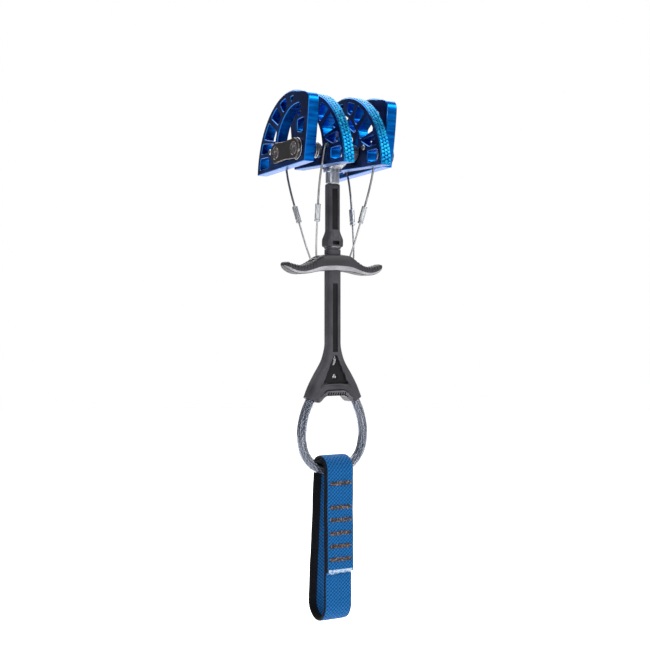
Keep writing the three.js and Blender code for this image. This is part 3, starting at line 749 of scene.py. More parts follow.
def curve_table(points, at):
    """A value read from (place, value) rows, eased into a smooth curve through them."""
    spots = [points[0], *points, points[-1]]
    for i in range(1, len(spots) - 2):
        (x0, y0), (x1, y1), (x2, y2), (x3, y3) = spots[i - 1:i + 3]
        if at <= x2 or i == len(spots) - 3:
            t = max(0.0, min(1.0, (at - x1) / (x2 - x1)))
            first = (y2 - y0) / max(1e-6, x2 - x0) * (x2 - x1)
            second = (y3 - y1) / max(1e-6, x3 - x1) * (x2 - x1)
            cube, square = t ** 3, t ** 2
            return ((2 * cube - 3 * square + 1) * y1 + (cube - 2 * square + t) * first
                    + (3 * square - 2 * cube) * y2 + (cube - square) * second)
    return points[-1][1]


# ---------------------------------------------------------------- cam lobes

def rim_radius(degrees):
    return TIP_RADIUS * math.exp(-math.tan(CAM_ANGLE) * math.radians(degrees - TIP_ANGLE))


RIM_STEP = TOOTH_PITCH / 8
RIM_LENGTH = (TIP_RADIUS - rim_radius(RIM_TOP_ANGLE)) / math.sin(CAM_ANGLE)
RIM_POINTS = round(RIM_LENGTH / RIM_STEP)


def rim_angle(distance):
    """The angle at which the rim has run this far from its tip."""
    radius = TIP_RADIUS - distance * math.sin(CAM_ANGLE)
    return TIP_ANGLE + math.degrees(math.log(TIP_RADIUS / radius) / math.tan(CAM_ANGLE))


def lobe_outline():
    """The toothed rim from its tip to its crest, then the curved back down to the heel."""
    angles = [rim_angle(RIM_LENGTH * i / RIM_POINTS) for i in range(RIM_POINTS + 1)]
    rim = [polar(rim_radius(a) - TOOTH_HEIGHT, a) for a in angles]
    crest = rim[-1]
    shoulder = (-1.92 * HUB_RADIUS, 0.76 * crest[1])
    heel = (-1.1 * HUB_RADIUS, -1.13 * HUB_RADIUS)
    back = bezier(crest, (crest[0] - 7, crest[1] - 1.2), (shoulder[0] - 0.8, crest[1] - 0.9), shoulder, 20)
    spine = bezier(shoulder, (shoulder[0] + 0.5, shoulder[1] - 6),
                   (-1.6 * HUB_RADIUS, 0.8 * HUB_RADIUS), heel, 16)
    return [*rim, *back[1:], *spine[1:]]


def lobe_window():
    """The curved slot that the other axle passes through, opened out towards the hub."""
    low, high, web = -1, 91, HUB_RADIUS / 2
    run = [
        polar(SLOT_INNER, high), (web, 0.9 * SLOT_INNER), (web, 1.3 * HUB_RADIUS),
        (1.15 * HUB_RADIUS, 0.82 * HUB_RADIUS), (2.2 * HUB_RADIUS, SLOT_HALF), polar(SLOT_INNER, low),
    ]
    return [
        *arc((0, 0), SLOT_OUTER, low, high, 40),
        *arc(polar(AXLE_SPACING, high), SLOT_HALF, high, high + 180, 12)[1:],
        *rounded_run(run, WINDOW_CORNER),
        *arc(polar(AXLE_SPACING, low), SLOT_HALF, low + 180, low + 360, 12)[:-1],
    ]


def lobe_holes():
    """The bore, the wire's hole, the slot, the pockets between spokes, and the crest's holes."""
    def rim_edge(degrees):
        return polar(rim_radius(degrees) - RIM_WALL, degrees)

    foot = WIRE_HOLE[0] + 3.5
    low_pocket = [(foot, -7.4), (rim_edge(-8.4)[0], -7.6), rim_edge(-0.6), (foot, -0.5)]
    high_pocket = [(foot + 1.6, 2.4), rim_edge(2.8), rim_edge(10.6), polar(POCKET_FOOT + 0.6, 12.6)]
    pockets = [[polar(POCKET_FOOT, low + 1), rim_edge(low), rim_edge((low + high) / 2),
                rim_edge(high - 1), polar(POCKET_FOOT, high - 3)] for low, high in SPOKE_SPANS]
    crest_hole = [polar(POCKET_FOOT, 75), polar(POCKET_FOOT + 3.39, 74), polar(POCKET_FOOT + 2.58, 82)]
    back_window = [
        (-1.1 * HUB_RADIUS, 0.91 * SLOT_INNER), (0.2, 0.88 * SLOT_INNER), (0.2, HUB_RADIUS + 3),
        (-0.84 * HUB_RADIUS, HUB_RADIUS + 2),
    ]
    return [
        circle((0, 0), BORE_RADIUS, 40), circle(WIRE_HOLE, WIRE_HOLE_RADIUS, 16), lobe_window(),
        rounded(low_pocket, 1.4), *[rounded(hole, WINDOW_CORNER) for hole in (high_pocket, *pockets)],
        rounded(crest_hole, 1.2), rounded(back_window, WINDOW_CORNER),
    ]


TREAD_CUTS = (0.0, 0.12, 0.88)  # a groove's middle, and where its row of teeth stands full
TREAD_ROWS = [(k + cut) / TOOTH_ROWS for k in range(TOOTH_ROWS) for cut in TREAD_CUTS] + [1.0]


def raise_teeth(loop, row):
    """The outline with its rim raised into teeth, every other row of them shifted by half a pitch."""
    column, cut = divmod(row, len(TREAD_CUTS))
    if cut == 0:
        return loop
    lifted = []
    for i, (here, out) in enumerate(zip(loop, inward(loop, -TOOTH_HEIGHT))):
        phase = (i * RIM_STEP / TOOTH_PITCH + 0.5 * (column % 2)) % 1
        share = eased(min(phase, 1 - phase) * 8 - 0.5) if 3 < i < RIM_POINTS - 3 else 0
        lifted.append((lerp(here[0], out[0], share), lerp(here[1], out[1], share)))
    return lifted


TREAD_RULE = {"rows": TREAD_ROWS, "raise": raise_teeth, "from": 0, "to": RIM_POINTS}
# Faces, chamfers, walls and rim: the shaded, highlit and lit copies of the blue anodising.
LOBE_METALS = [lobe_face_shaded, lobe_edge_highlit, lobe_wall_lit, lobe_rim_lit]


def add_lobe(side_name, side, row):
    opens = OPENS[row]
    near, far = sorted(side * x for x in LOBE_SPANS[row])
    name = f"{side_name}_{row}_lobe"
    piece = plate(f"{name}_machined", lobe_outline(), lobe_holes(), near, far,
                  lambda u, v, x: Vector((x, opens * (u - AXLE_Y), v)),
                  LOBE_CHAMFER, LOBE_METALS, TREAD_RULE)
    settle(piece, name, "anodised_blue", name)


def add_bead(side_name, side, row):
    """The pressed bead that keeps the pull wire's end in its lobe."""
    opens = OPENS[row]
    near, far = LOBE_SPANS[row]
    face, away = (near, -1) if row == "inner" else (far, 1)
    spot = (opens * (WIRE_HOLE[0] - AXLE_Y), WIRE_HOLE[1])
    start, end = [(side * (face + away * height), *spot) for height in (0.02, 1.4)]
    profile = [(1.1, 0), (1.55, 0.12), (1.75, 0.35), (1.75, 0.9), (1.4, 1.25), (0.8, 1.36)]
    piece = turned(f"{side_name}_{row}_pressed_bead", start, end, profile, 24, spring_steel)
    settle(piece, f"{side_name}_{row}_lobe", "bright_steel", f"{side_name}_{row}_bead")


# ---------------------------------------------------------------- axle hardware

def add_axle(name, y):
    recess, depth, bevel = 2.2, 1.5, 0.3
    profile = [(recess * 0.3, depth), (recess, depth - 0.4), (recess + bevel, 0), (AXLE_RADIUS - bevel, 0),
               (AXLE_RADIUS, bevel)]
    piece = turned(f"{name}_turned", (-AXLE_END, y, 0), (AXLE_END, y, 0),
                   both_ends(profile, 2 * AXLE_END), 40, axle_steel)
    settle(piece, "stem", "steel", name)


def dogbone(end_radius, waist, reach):
    """Two round ends over the axles, drawn in between them."""
    lift = 0.93 * end_radius
    end_sweep = 108
    top = bezier((reach, lift), (reach / 2.3, waist), (-reach / 2.3, waist), (-reach, lift), 14)
    right = arc((AXLE_Y, 0), end_radius, -end_sweep, end_sweep, 32)
    half = [*right, *top]
    return [*half, *[(-x, -y) for x, y in half]]


def axle_holes():
    return [circle((y, 0), BORE_RADIUS, 40) for y in (AXLE_Y, -AXLE_Y)]


def add_end_plate(side_name, side):
    near, far = sorted(side * x for x in PLATE_SPAN)
    piece = plate(f"{side_name}_end_plate_pressed", dogbone(6.6, 5.7, 5.6), axle_holes(), near, far,
                  along_x, 0.35, [plate_black, plate_edge_worn_and_highlit, plate_edge_worn_and_highlit])
    settle(piece, "stem", "black_metal", f"{side_name}_end_plate")


def add_rings(side_name, side):
    """The washer behind the end plate, and the spacers that keep the lobes apart."""
    rings = [
        ("washer", WASHER_SPAN, -AXLE_Y, 6.9, 0.12, bright_steel, "bright_steel"),
        ("centre_spacer", (4.75, 9.3), -AXLE_Y, SPACER_RADIUS, 0.3, axle_steel, "steel"),
        ("outer_spacer", (17.2, 24.6), AXLE_Y, SPACER_RADIUS, 0.3, axle_steel, "steel"),
    ]
    for kind, (near, far), y, outer, chamfer, metal, slot in rings:
        profile = [(BORE_RADIUS, chamfer), (BORE_RADIUS + chamfer, 0), (outer - chamfer, 0), (outer, chamfer)]
        piece = turned(f"{side_name}_{kind}_turned", (side * near, y, 0), (side * far, y, 0),
                       both_ends(profile, far - near), 40, metal, ring=True)
        settle(piece, "stem", slot, f"{side_name}_{kind}")


SPRING_ROOMS = {"inner": (4.45, 9.6), "outer": (16.9, 24.9)}


def add_spring(side_name, side, row):
    """A torsion spring coiled on its lobe's axle, with one leg up the back of the lobe."""
    opens = OPENS[row]
    y = -opens * AXLE_Y
    wire, pitch, leg, coil, inset, steps = 0.58, 1.5, 13, 4.6, 0.9, 24
    start, end = SPRING_ROOMS[row]
    turns = math.floor((end - start - 2 * inset) / pitch)
    line = []
    for i in range(turns * steps + 1):
        out, up = polar(coil, 180 - 360 / steps * i)
        line.append((side * (end - inset - pitch * (turns - i / steps)), y + opens * out, up))
    x, last_y, _ = line[-1]
    for lean, share in ((0.3, 1 / 3), (0.8, 2 / 3), (1.2, 1)):
        line.append((x, last_y - opens * lean, leg * share))
    skin = Skin()
    sweep(skin, route_through(line, 0.6), wire, 10)
    piece = skin.build(f"{side_name}_{row}_spring_coiled", [spring_steel])
    settle(piece, f"{side_name}_{row}_lobe", "spring_steel", f"{side_name}_{row}_spring")


# ---------------------------------------------------------------- stem

def add_stem_terminal():
    """The forged head over both axles, and the round stub that the stem's cable is pressed into."""
    radius, width, neck = 6.3, 8.9, 4.6
    outline = [*arc((AXLE_Y, 0), radius, -75, 95, 22), *arc((-AXLE_Y, 0), radius, 85, 255, 22),
               (-neck, -9.5), (-neck, -11.8), (neck, -11.8), (neck, -9.5)]
    piece = plate("stem_terminal_forged", outline, axle_holes(), -width / 2, width / 2, along_x, 0.6,
                  [stub_steel, stub_steel, stub_steel])
    profile = [(width / 2 - 0.4, 0), (width / 2, 0.5), (width / 2, 11.6), (width / 2 - 0.7, 12.3)]
    stub = turned("stub", (0, 0, STUB_BOTTOM), (0, 0, -6), profile, 48, stub_steel)
    settle(worked(piece, "UNION", stub), "stem", "steel", "stem_terminal")


def add_stem_cable():
    skin = Skin()
    route = [Vector((0, 0, z)) for z in range(STEM_CABLE_FOOT, STUB_BOTTOM + SOCKET_DEPTH)]
    add_strands(skin, route, STEM_CABLE_RADIUS, 22, 10)
    settle(skin.build("stem_cable_stranded", [thin_cable]), "stem", "steel", "stem_cable")


COLUMNS = 30
CORNER_STEPS = 5
FLANK_STEPS = 4


def sleeve_ring(width, depth, z_at, relief):
    """One ring round a sleeve, with close columns over its front and back faces. z_at gives
    the height at each place across, and relief how far each point is sunk."""
    corner = SLEEVE_CORNER
    x_flat, y_flat = width / 2 - corner, depth / 2 - corner
    points = []
    for face in (-1, 1):
        for i in range(COLUMNS + 1):
            x = -face * lerp(-x_flat, x_flat, i / COLUMNS)
            z = z_at(x)
            points.append(Vector((x, face * (depth / 2 - relief(x, z)), z)))
        start = 270 if face < 0 else 90
        x_centre, y_centre = -face * x_flat, face * y_flat
        for x, y in arc((x_centre, y_centre), corner, start, start + 90, CORNER_STEPS)[1:]:
            points.append(Vector((x, y, z_at(x))))
        for i in range(1, FLANK_STEPS):
            y = y_centre * (1 - 2 * i / FLANK_STEPS)
            points.append(Vector((-face * width / 2, y, z_at(width / 2))))
        for x, y in arc((x_centre, -y_centre), corner, start + 90, start + 180, CORNER_STEPS)[:-1]:
            points.append(Vector((x, y, z_at(x))))
    return points


def in_box(x, z, half, low, high, soft=0.35):
    """1 well inside an upright box on the face, easing to 0 over a soft edge."""
    inside = min(half - abs(x), z - low, high - z)
    return eased(inside / soft + 0.5)


def moulded(name, rings, materials, finish_at):
    """A sleeve skinned over its rings. finish_at gives the material's number at a point."""
    skin = Skin()
    made = [skin.ring(points) for points in rings]
    along = [abs(points[0].z) for points in rings]
    skin.tube(made, along, lambda ring, i: finish_at(rings[ring][i]))
    count = COLUMNS + 1
    half = len(rings[0]) // 2
    for ring in (made[0], made[-1]):
        for i in range(count - 1):
            skin.face((ring[i], ring[i + 1], ring[half + count - 2 - i], ring[half + count - 1 - i]))
        skin.face([*ring[count - 1:half], ring[half]])
        skin.face([*ring[half + count - 1:], ring[0]])
    return skin.build(name, materials, 40)


UPPER_SECTIONS = [  # height, width, depth
    (SLEEVE_SEAM, 9.7, 7.6), (-59.9, 9.9, 7.8), (-59.2, 12.1, 9.5), (-55.6, 12.2, 9.6), (-54.4, 11.9, 9.3),
    (-50.4, 9.3, 7.5), (-49, 8.8, 7.2), (UPPER_SLEEVE_TOP, 8.8, 7.2),
]
UPPER_PANEL = (-48.2, -22)
COLLAR_SLOT = (2.2, -58, -56, 0.3)
# A pale band along the collar's lower lip: a painted highlight.
HIGHLIGHT_EDGE = (3.2, -59.9, -59, 0.2)


def upper_relief(x, z):
    """The long panel, the slot in the collar, the raised block above it, and the lip below it."""
    panel = 0.7 * in_box(x, z, 2.0, *UPPER_PANEL)
    slot = 1.6 * in_box(x, z, *COLLAR_SLOT)
    raised = -0.3 * in_box(x, z, 2.0, -53.6, -49.2)
    lip = 0.4 * in_box(x, z, 30, -60.1, -59.7, 0.3)
    return panel + slot + raised + lip


def upper_finish(point):
    x, y, z = point
    if abs(y) <= 2:
        return 0
    # the panel and the collar slot take the darker plastic: painted shade
    if max(in_box(x, z, 1.9, *UPPER_PANEL), in_box(x, z, *COLLAR_SLOT)) > 0.5:
        return 1
    # the pale lip band is a painted highlight
    return 2 if in_box(x, z, *HIGHLIGHT_EDGE) > 0.5 else 0


def add_upper_sleeve():
    widths = [(z, width) for z, width, depth in UPPER_SECTIONS]
    depths = [(z, depth) for z, width, depth in UPPER_SECTIONS]
    count = 120
    rings = []
    for i in range(count + 1):
        z = lerp(UPPER_SLEEVE_TOP, SLEEVE_SEAM, i / count)
        draw_in = 0.35 * (1 - eased(min(i, count - i) / 2))
        rings.append(sleeve_ring(along_table(widths, z) - draw_in, along_table(depths, z) - draw_in,
                                 lambda x, level=z: level, upper_relief))
    piece = moulded("upper_sleeve_moulded", rings, [stem_plastic, recess_shade_plastic, highlight_plastic], upper_finish)
    settle(piece, "stem", "black_plastic", "upper_sleeve")


STEM_CHANNEL = (1.7, -127, -83)
RECESS_TOP = -129


def yoke_width(z):
    drop = FLARE_TOP - YOKE_BOTTOM
    shares = [(1, 1), (0.78, 0.84), (0.58, 0.65), (0.34, 0.4), (0.16, 0.29)]
    table = [(FLARE_TOP - down * drop, wide * YOKE_WIDTH) for down, wide in shares]
    return curve_table([*table, (FLARE_TOP, STEM_WIDTH), (FLARE_TOP + 6, STEM_WIDTH)], z)


def rest_edge(x):
    """The seam between the black yoke and the grey thumb rest."""
    return REST_TOP - 5.3 * eased((abs(x) - 5.5) / 8.5)


def yoke_foot(x):
    """How low the black moulding reaches at this distance from the middle."""
    x = abs(x)
    if x < 13.1:
        return rest_edge(x)
    if x < 13.5:
        return lerp(rest_edge(x), YOKE_BOTTOM, (x - 13.1) / 0.4)
    return YOKE_BOTTOM + 0.555 * (x - 13.5)


def yoke_recess(x, z):
    """1 inside the three-cornered panel of the yoke."""
    edge = lerp(1.1, 9.2, (RECESS_TOP - z) / 18.5) - abs(x)
    return eased(min(edge, z + 147.5, RECESS_TOP - z) / 0.7 + 0.2)


def lower_relief(x, z):
    """Channel, panel, slit, hole and ridge of the lower moulding, as depths."""
    channel = 0.6 * in_box(x, z, *STEM_CHANNEL)
    recess = 1.4 * yoke_recess(x, z)
    slit = 2.4 * in_box(x - 0.35 * (z + 133), z, 0.95, -135.6, -130.6, 0.4)
    hole = 2.4 * eased((1.9 - math.hypot(x, z + 143.1)) / 0.4 + 0.5)
    ridge = -0.5 * in_box(x, z, 10.4, -150.6, -148.2, 0.5)
    return max(channel, recess, slit, hole) + ridge


def lower_finish(point):
    x, y, z = point
    # the channel and the yoke's recess take the darker plastic: painted shade
    return 1 if max(in_box(x, z, *STEM_CHANNEL), yoke_recess(x, z)) > 0.5 and abs(y) > 1 else 0


def add_lower_sleeve():
    """A straight stem under the trigger, flaring into the yoke that holds the thumb loop."""
    straight, flared, yoke_depth = 120, 96, 9.4
    rings = []
    for i in range(straight):
        z = lerp(SLEEVE_SEAM - CLEARANCE, FLARE_TOP, i / straight)
        rings.append(sleeve_ring(STEM_WIDTH, STEM_DEPTH, lambda x, level=z: level, lower_relief))
    for i in range(flared + 1):
        share = i / flared
        width = max(STEM_WIDTH, yoke_width(lerp(FLARE_TOP, YOKE_BOTTOM, share)))
        depth = lerp(STEM_DEPTH, yoke_depth, (width - STEM_WIDTH) / (YOKE_WIDTH - STEM_WIDTH))
        rings.append(sleeve_ring(width, depth, lambda x, down=share, spread=YOKE_WIDTH / width:
                                 lerp(FLARE_TOP, yoke_foot(x * spread), down), lower_relief))
    piece = moulded("lower_sleeve_moulded", rings, [stem_plastic, recess_shade_plastic], lower_finish)
    settle(piece, "stem", "black_plastic", "lower_sleeve")


def add_thumb_rest():
    """The pale saddle under the yoke, with slanted grooves along both edges of its arch."""
    half, flat, rise, groove = 12, 5.7, 4.1, 3
    foot = YOKE_BOTTOM + 0.2
    arch = YOKE_BOTTOM + rise
    edge = bezier((half, foot), (half - 2.6, foot + 1), (flat + 3, foot + rise), (flat, foot + rise), 12)
    top = [(x, rest_edge(x)) for x in range(13, 4, -1)]
    outline = mirrored([*reversed(edge), (half + 1, foot), *top])
    piece = plate("thumb_rest_moulded", outline, [], -5.1, 5.1, along_y, 0.7,
                  [rest_plastic, rest_plastic, rest_plastic, recess_shade_plastic])
    tools = []
    for k in range(8):
        x = (k - 3.5) * 1.75
        low, high = arch - 1.4, arch + 2.4
        slanted = [(x - 1.3, low), (x - 0.35, low), (x + 1.4, high), (x + 0.45, high)]
        tools += [block(slanted, face * 6 - 2.2, face * 6 + 2.2, along_y) for face in (-1, 1)]
    worked(piece, "DIFFERENCE", *tools)
    # the grooves' faces take the darker plastic: painted shade
    for face in piece.data.polygons:
        x, y, z = face.center / MM
        if 3.7 < abs(y) < 4.9 and abs(x) < 9 and z > arch - 1.5:
            face.material_index = groove
    settle(piece, "stem", "grey_plastic", "thumb_rest")


# ---------------------------------------------------------------- thumb loop

def loop_line():
    right = [(x, 0, z) for x, z in LOOP_ROUTE]
    left = [(-x, 0, z) for x, z in reversed(LOOP_ROUTE)]
    return [*right, (0, 0, LOOP_BOTTOM), *left]


def add_thumb_loop():
    """The stranded loop, and a clear tube with a real wall over what shows below the yoke."""
    cable = Skin()
    add_strands(cable, route_through(loop_line(), 1.0), LOOP_CABLE_RADIUS * 1.08, 23, 10)
    settle(cable.build("thumb_loop_stranded", [cable_steel]), "stem", "steel", "thumb_loop_cable")
    clear = [p for p in route_through(loop_line(), 0.8) if p.z < yoke_foot(p.x) + 1.5]
    along = distances(clear)
    sheath = Skin()
    walls = [[sheath.ring(hoop(p, u, v, radius, 28)) for p, (u, v) in zip(clear, carried_frames(clear))]
             for radius in (SHEATH_RADIUS, SHEATH_BORE)]
    for rings in walls:
        sheath.tube(rings, along)
    for end in (0, -1):
        sheath.tube([walls[0][end], walls[1][end]], [0, 0.5])
    settle(sheath.build("loop_sheath_clear", [sheath_clear]), "stem", "clear_sheath", "loop_sheath")


# ---------------------------------------------------------------- trigger

# shares of the trigger's half length, and heights below its top
TRIGGER_FLOOR = [(0, -10.4), (0.32, -11.2), (0.53, -12.6), (0.69, -13.1), (0.82, -12.2), (0.94, -9.8),
                 (1, -7.9)]
TRIGGER_CREST = [(0, 0), (0.14, -0.1), (0.28, -0.9), (0.43, -4), (0.56, -6.5), (0.68, -7.3), (0.82, -6.5),
                 (0.93, -5.4), (0.98, -6.2), (1, -7.7)]
TRIGGER_TIP = 5.6
TRIGGER_CENTRE_DEPTH = 6.7
RIB_PITCH = 2.1
RIB_DEPTH = 0.5
RIBBED_SHARES = (0.36, 0.97)
CREST_BEVEL = 1.6
# These chamfers are made pale as a painted highlight of the light from the floor below.
HIGHLIGHT_STRIPS = (7, 12)  # the chamfers between the trigger's faces and its foot


def trigger_depth(x):
    """Half the bar's depth this far out: deepest round the stem, with rounded tips."""
    middle, end = 0.3 * TRIGGER_HALF, TRIGGER_HALF - TRIGGER_TIP
    if x > end:
        return math.sqrt(max(0.05, TRIGGER_TIP ** 2 - (x - end) ** 2))
    return lerp(TRIGGER_CENTRE_DEPTH, TRIGGER_TIP, max(0.0, (x - middle) / (end - middle)))


def trigger_section(x):
    """The trigger bar cut square to its length: ribbed crest, upright faces, chamfered foot."""
    reach = abs(x) / TRIGGER_HALF
    low = TRIGGER_TOP + curve_table(TRIGGER_FLOOR, reach)
    high = TRIGGER_TOP + curve_table(TRIGGER_CREST, reach)
    depth = trigger_depth(abs(x))
    tall = high - low
    ribbed = eased((reach - RIBBED_SHARES[0]) / 0.06) * eased((RIBBED_SHARES[1] - reach) / 0.05)
    rib = RIB_DEPTH * ribbed * (0.5 - 0.5 * math.cos(math.tau * abs(x) / RIB_PITCH))
    bevel = min(CREST_BEVEL, 0.3 * tall, 0.5 * depth)
    foot = min(0.3 * tall, 0.6 * depth)
    half = [
        (0.0, high - rib), (0.5 * depth, high - rib), (depth - bevel, high - 0.15 * bevel - rib),
        (depth - 0.3 * bevel - rib, high - 0.5 * bevel - rib), (depth - rib, high - bevel),
        (depth - 0.6 * rib, lerp(high - bevel, low + foot, 0.5)),
        (depth, low + foot + 0.3), (depth - 0.12, low + foot - 0.1),
        (depth - 0.75 * foot, low + 0.35), (depth - 0.95 * foot, low), (0.0, low),
    ]
    back = [(-y, z) for y, z in reversed(half[1:-1])]
    return [Vector((x, y, z)) for y, z in [*half, *back]]


def add_trigger():
    skin = Skin()
    count = 300
    rings = []
    along = []
    for i in range(count + 1):
        x = (TRIGGER_HALF * math.sin(math.pi * (i / count - 0.5)) * 0.5
             + TRIGGER_HALF * (2 * i / count - 1) * 0.5)
        rings.append(skin.ring(trigger_section(x)))
        along.append(x + TRIGGER_HALF)
    skin.tube(rings, along, lambda ring, i: 1 if i in HIGHLIGHT_STRIPS else 0)
    skin.cap(rings)
    piece = skin.build("trigger_moulded", [trigger_plastic, highlight_plastic], 30)
    play, below, above = 2 * CLEARANCE, -85, -60
    bore = block(box_outline(STEM_WIDTH + play, STEM_DEPTH + play, SLEEVE_CORNER), below, above)
    pockets = [block([(side * x + px, py) for px, py in box_outline(2.2, 6, 0.6)], WIRE_FOOT_Z - 1.2, above)
               for x in WIRE_FOOT_X.values() for side in (-1, 1)]
    settle(worked(piece, "DIFFERENCE", bore, *pockets), "trigger", "black_plastic", "trigger")


# ---------------------------------------------------------------- pull wires

def add_wire(side_name, side, row):
    """A thin cable from the trigger, a pressed ferrule, and a stiff wire hooked into the lobe."""
    near, far = LOBE_SPANS[row]
    face, back, out = (far + CLEARANCE, near, 1) if row == "inner" else (near - CLEARANCE, far, -1)
    run = face + out * WIRE_STAND
    top = Vector((0, OPENS[row] * (WIRE_HOLE[0] - AXLE_Y), WIRE_HOLE[1]))
    foot = Vector((0, 0, WIRE_FOOT_Z))
    length = (top - foot).length
    low, high = FERRULE_SPAN

    def at(distance, sideways=None):
        if sideways is None:
            sideways = lerp(WIRE_FOOT_X[row], run, min(1, (distance / (high + 14)) ** 0.8))
        spot = foot.lerp(top, distance / length)
        return Vector((side * sideways, spot.y, spot.z))

    def add_cord(kind, ending, points, step, radius, sides, metal, slot):
        skin = Skin()
        sweep(skin, route_through(points, step), radius, sides)
        settle(skin.build(f"{name}_{kind}_{ending}", [metal]), f"{name}_wire", slot, f"{name}_{kind}")

    name = f"{side_name}_{row}"
    lower = [at(share * (low + 1)) for share in (0, 0.35, 0.7, 1)]
    add_cord("lower_cable", "laid", lower, 0.8, 0.58, 10, thin_cable, "bright_steel")
    r = FERRULE_RADIUS
    size = (at(high) - at(low)).length
    profile = [(0.62, 0.1), (r - 0.35, 0), (r, 0.3), (r, 1.5), (r - 0.28, 1.75), (r - 0.28, 2.1),
               (r - 0.05, 2.4), (r - 0.1, size / 2), (r - 0.05, size - 0.35), (r - 0.4, size),
               (0.7, size - 0.15)]
    ferrule = turned(f"{name}_ferrule_pressed", at(low), at(high), profile, 28, ferrule_metal)
    settle(ferrule, f"{name}_wire", "bright_steel", f"{name}_ferrule")
    upper = [at(high - 0.8 + share * (length - high)) for share in (0, 0.25, 0.5, 0.75)]
    upper += [at(length - 1.7, run), at(length - 0.45, lerp(run, face, 0.3)), at(length, face),
              at(length, lerp(face, back, 0.6)), at(length, back)]
    add_cord("upper_wire", "bent", upper, 0.6, 0.68, 12, wire_steel, "steel")


# ---------------------------------------------------------------- sling

def web_line():
    """The webbing's middle line, from its end under the crown, round the fold, over the crown
    again as the outer layer, and down to the cut end."""
    inner = SLING_TOP_RADIUS + WEB_LAYER / 2
    low = SLING_FOLD_RADIUS + WEB_LAYER / 2
    under = arc((0, LOOP_BOTTOM), inner, 38, 180, 24)
    bottom = arc((SLING_LEAN, SLING_FOLD_Z), low, 180, 360, 30)
    over = []
    for i in range(31):
        degrees = 6 * i
        y, z = polar(inner + WEB_LAYER * eased(degrees / 50), degrees)
        over.append((y, LOOP_BOTTOM + z))
    share = (LOOP_BOTTOM - SEWN_END_Z) / (LOOP_BOTTOM - SLING_FOLD_Z)
    end = lerp(-inner - WEB_LAYER, SLING_LEAN - low - WEB_LAYER, share)
    points = [*under, *bottom, *over, (end, SEWN_END_Z)]
    return even_steps([Vector((0, y, z)) for y, z in points], 0.4)


def float_height(along, x):
    """How proud the woven threads stand here: floats in columns, every other one half a rib on."""
    column, share = divmod((x + 2 * SLING_HALF) / WEB_COLUMN, 1)
    rib = math.sin(math.tau * (along / WEB_RIB + 0.5 * column + WEB_SLANT * share))
    return WEB_RELIEF * eased(0.5 + rib) * math.sin(math.pi * share) ** 0.5


def web_finish(face, x):
    """The selvedges, and a band along each edge of the inner face, are dark."""
    return 1 if abs(x) > (9.3 if face > 0 else BAND_START) else 0


def add_sling():
    """The webbing, skinned as one strip: its outer face across and its inner face back again."""
    route = web_line()
    along = distances(route)
    steps = 60
    around = [(face, face * lerp(-SLING_HALF, SLING_HALF, k / steps))
              for face in (1, -1) for k in range(steps + 1)]
    skin = Skin()
    rings = []
    for point, tangent, s in zip(route, tangents_of(route), along):
        outwards = Vector((1, 0, 0)).cross(tangent)
        wander = 0.12 * math.sin(s / 9) + 0.08 * math.sin(s / 3.7)
        ring = []
        for face, x in around:
            thin = math.sqrt(max(0.04, 1 - (abs(x) / SLING_HALF) ** 14))
            side = face * thin * (WEB_HALF + float_height(s, x))
            ring.append(point + Vector((x + wander * abs(x) / SLING_HALF, 0, 0)) - outwards * side)
        rings.append(skin.ring(ring))
    for low, high, s, far in zip(rings, rings[1:], along, along[1:]):
        for i, (face, x) in enumerate(around):
            j = (i + 1) % len(around)
            x_far = around[j][1]
            spots = [(s * MM, x * MM), (s * MM, x_far * MM), (far * MM, x_far * MM), (far * MM, x * MM)]
            skin.face((low[i], low[j], high[j], high[i]), web_finish(face, (x + x_far) / 2), spots)
    skin.cap(rings)
    strap = skin.build("sling_webbing", [webbing, webbing_band], 60)
    settle(strap, "sling", "blue_webbing", "sling")
    return strap, along[-1]


def leg_y(z, layers):
    """The front leg's outer (layers=2) or inner (layers=0) face at a height."""
    rise = LOOP_BOTTOM - SLING_FOLD_Z
    inner = lerp(-SLING_TOP_RADIUS, SLING_LEAN - SLING_FOLD_RADIUS, (LOOP_BOTTOM - z) / rise)
    return inner - layers * WEB_LAYER


def add_tacks():
    """Six bar tacks sewn through both layers: a close zigzag over a straight run."""
    rng = random.Random(7)
    left, right, reach, stitches = -7.5, 7.6, 1.25, 60
    skin = Skin()
    for z in TACK_HEIGHTS:
        for layers, out in ((2, -1), (0, 1)):
            line = []
            for i in range(stitches + 1):
                x = lerp(left, right, i / stitches) + rng.uniform(-0.08, 0.08)
                tall = (reach if i % 2 else -reach) + rng.uniform(-0.2, 0.2)
                line.append(Vector((x, leg_y(z + tall, layers) + out * 0.1, z + tall)))
            sweep(skin, route_through(line, 0.28), 0.24, 6)
            for height in (-0.7, 0.6):
                y = leg_y(z + height, layers) + out * 0.02
                run = [Vector((x, y, z + height)) for x in (left, 0, right)]
                sweep(skin, route_through(run, 0.8), 0.3, 6)
    return settle(skin.build("sling_bar_tacks", [tack_thread]), "sling", "blue_webbing")


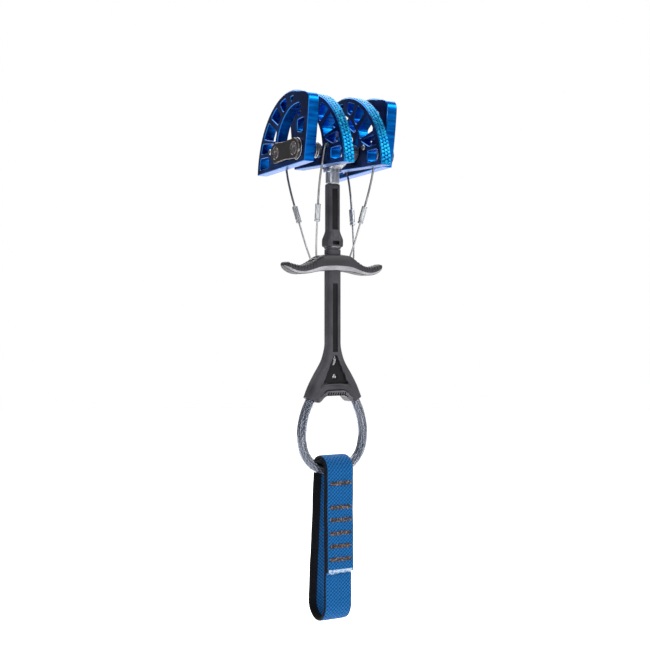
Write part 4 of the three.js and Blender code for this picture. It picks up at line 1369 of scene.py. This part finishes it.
def add_cut_end():
    """The heat-cut end of the outer layer, with short fibres standing off it."""
    rng = random.Random(11)
    fibres, half = 150, 8.7
    skin = Skin()
    for k in range(fibres):
        x = lerp(-half, half, k / (fibres - 1)) + rng.uniform(-0.1, 0.1)
        y = leg_y(SEWN_END_Z, 1) - WEB_LAYER * rng.uniform(0.15, 0.95)
        start = Vector((x, y, SEWN_END_Z + rng.uniform(0.4, 1.6)))
        lean = Vector((rng.uniform(-0.35, 0.35), rng.uniform(-0.25, 0.1), -rng.uniform(0.8, 1.9)))
        sweep(skin, [start, start + lean * 0.5, start + lean], 0.17, 5)
    for row in range(3):
        z = SEWN_END_Z + 0.3 + 0.55 * row
        y = leg_y(z, 2) + 0.08
        line = [Vector((x * 0.5, y + rng.uniform(-0.06, 0.06), z + rng.uniform(-0.12, 0.12)))
                for x in range(-17, 18)]
        sweep(skin, route_through(line, 0.4), 0.26, 6)
    return settle(skin.build("sling_cut_end", [cut_fibre]), "sling", "blue_webbing")


# ---------------------------------------------------------------- assembly

def add_floor():
    reach, depth = 4000, -450
    skin = Skin()
    skin.face(skin.ring((x, y, depth) for x, y in circle((0, 0), reach, 64)))
    skin.build("floor", [floor_paint])


def add_light():
    """White behind the object; dimmer walls round it, brightest above the camera's right."""
    world = bpy.data.worlds.new("studio")
    world.use_nodes = True
    tree = world.node_tree
    walls = tree.nodes["Background"]
    heading = node(tree, "ShaderNodeTexCoord").outputs["Generated"]
    bright_side, dimmest, brightest = (0.6, -0.45, 0.66), 0.18, 0.62
    facing = node(tree, "ShaderNodeVectorMath", {0: heading, 1: bright_side},
                  operation="DOT_PRODUCT").outputs["Value"]
    strength = node(tree, "ShaderNodeMapRange", {"Value": facing, "From Min": -0.6, "From Max": 0.9,
                                                 "To Min": dimmest, "To Max": brightest})
    tree.links.new(strength.outputs["Result"], walls.inputs["Strength"])
    walls.inputs["Color"].default_value = (1, 1, 1, 1)
    backdrop = node(tree, "ShaderNodeBackground", {"Color": (1, 1, 1, 1), "Strength": 1.0})
    seen = node(tree, "ShaderNodeLightPath").outputs["Is Camera Ray"]
    both = node(tree, "ShaderNodeMixShader", {0: seen, 1: walls.outputs[0], 2: backdrop.outputs[0]})
    tree.links.new(both.outputs[0], tree.nodes["World Output"].inputs["Surface"])
    bpy.context.scene.world = world
    bpy.context.scene.view_settings.view_transform = "Standard"
    centre = (0, 0, -0.12)
    add_lamp("key", (1.0, -1.3, 1.0), centre, 0.8, 19)
    add_lamp("fill", (-1.5, -1.1, 0.2), centre, 1.0, 6)
    add_lamp("rim", (0.9, 1.4, 0.8), centre, 0.8, 9)
    add_lamp("low", (0.1, -1.1, -0.43), (0, 0, -0.25), 0.4, 2.6)
    add_lamp("sweep", (0, 1.2, 1.4), (0, 1.6, -0.45), 2.4, 60)


add_camera()
add_stem_terminal()
add_stem_cable()
add_upper_sleeve()
add_lower_sleeve()
add_thumb_rest()
add_thumb_loop()
add_trigger()
add_axle("front_axle", -AXLE_Y)
add_axle("rear_axle", AXLE_Y)
for side_name, side in SIDES.items():
    add_end_plate(side_name, side)
    add_rings(side_name, side)
    for row in LOBE_SPANS:
        add_lobe(side_name, side, row)
        add_bead(side_name, side, row)
        add_spring(side_name, side, row)
        add_wire(side_name, side, row)
sling, web_length = add_sling()
add_tacks()
add_cut_end()
add_floor()
add_light()
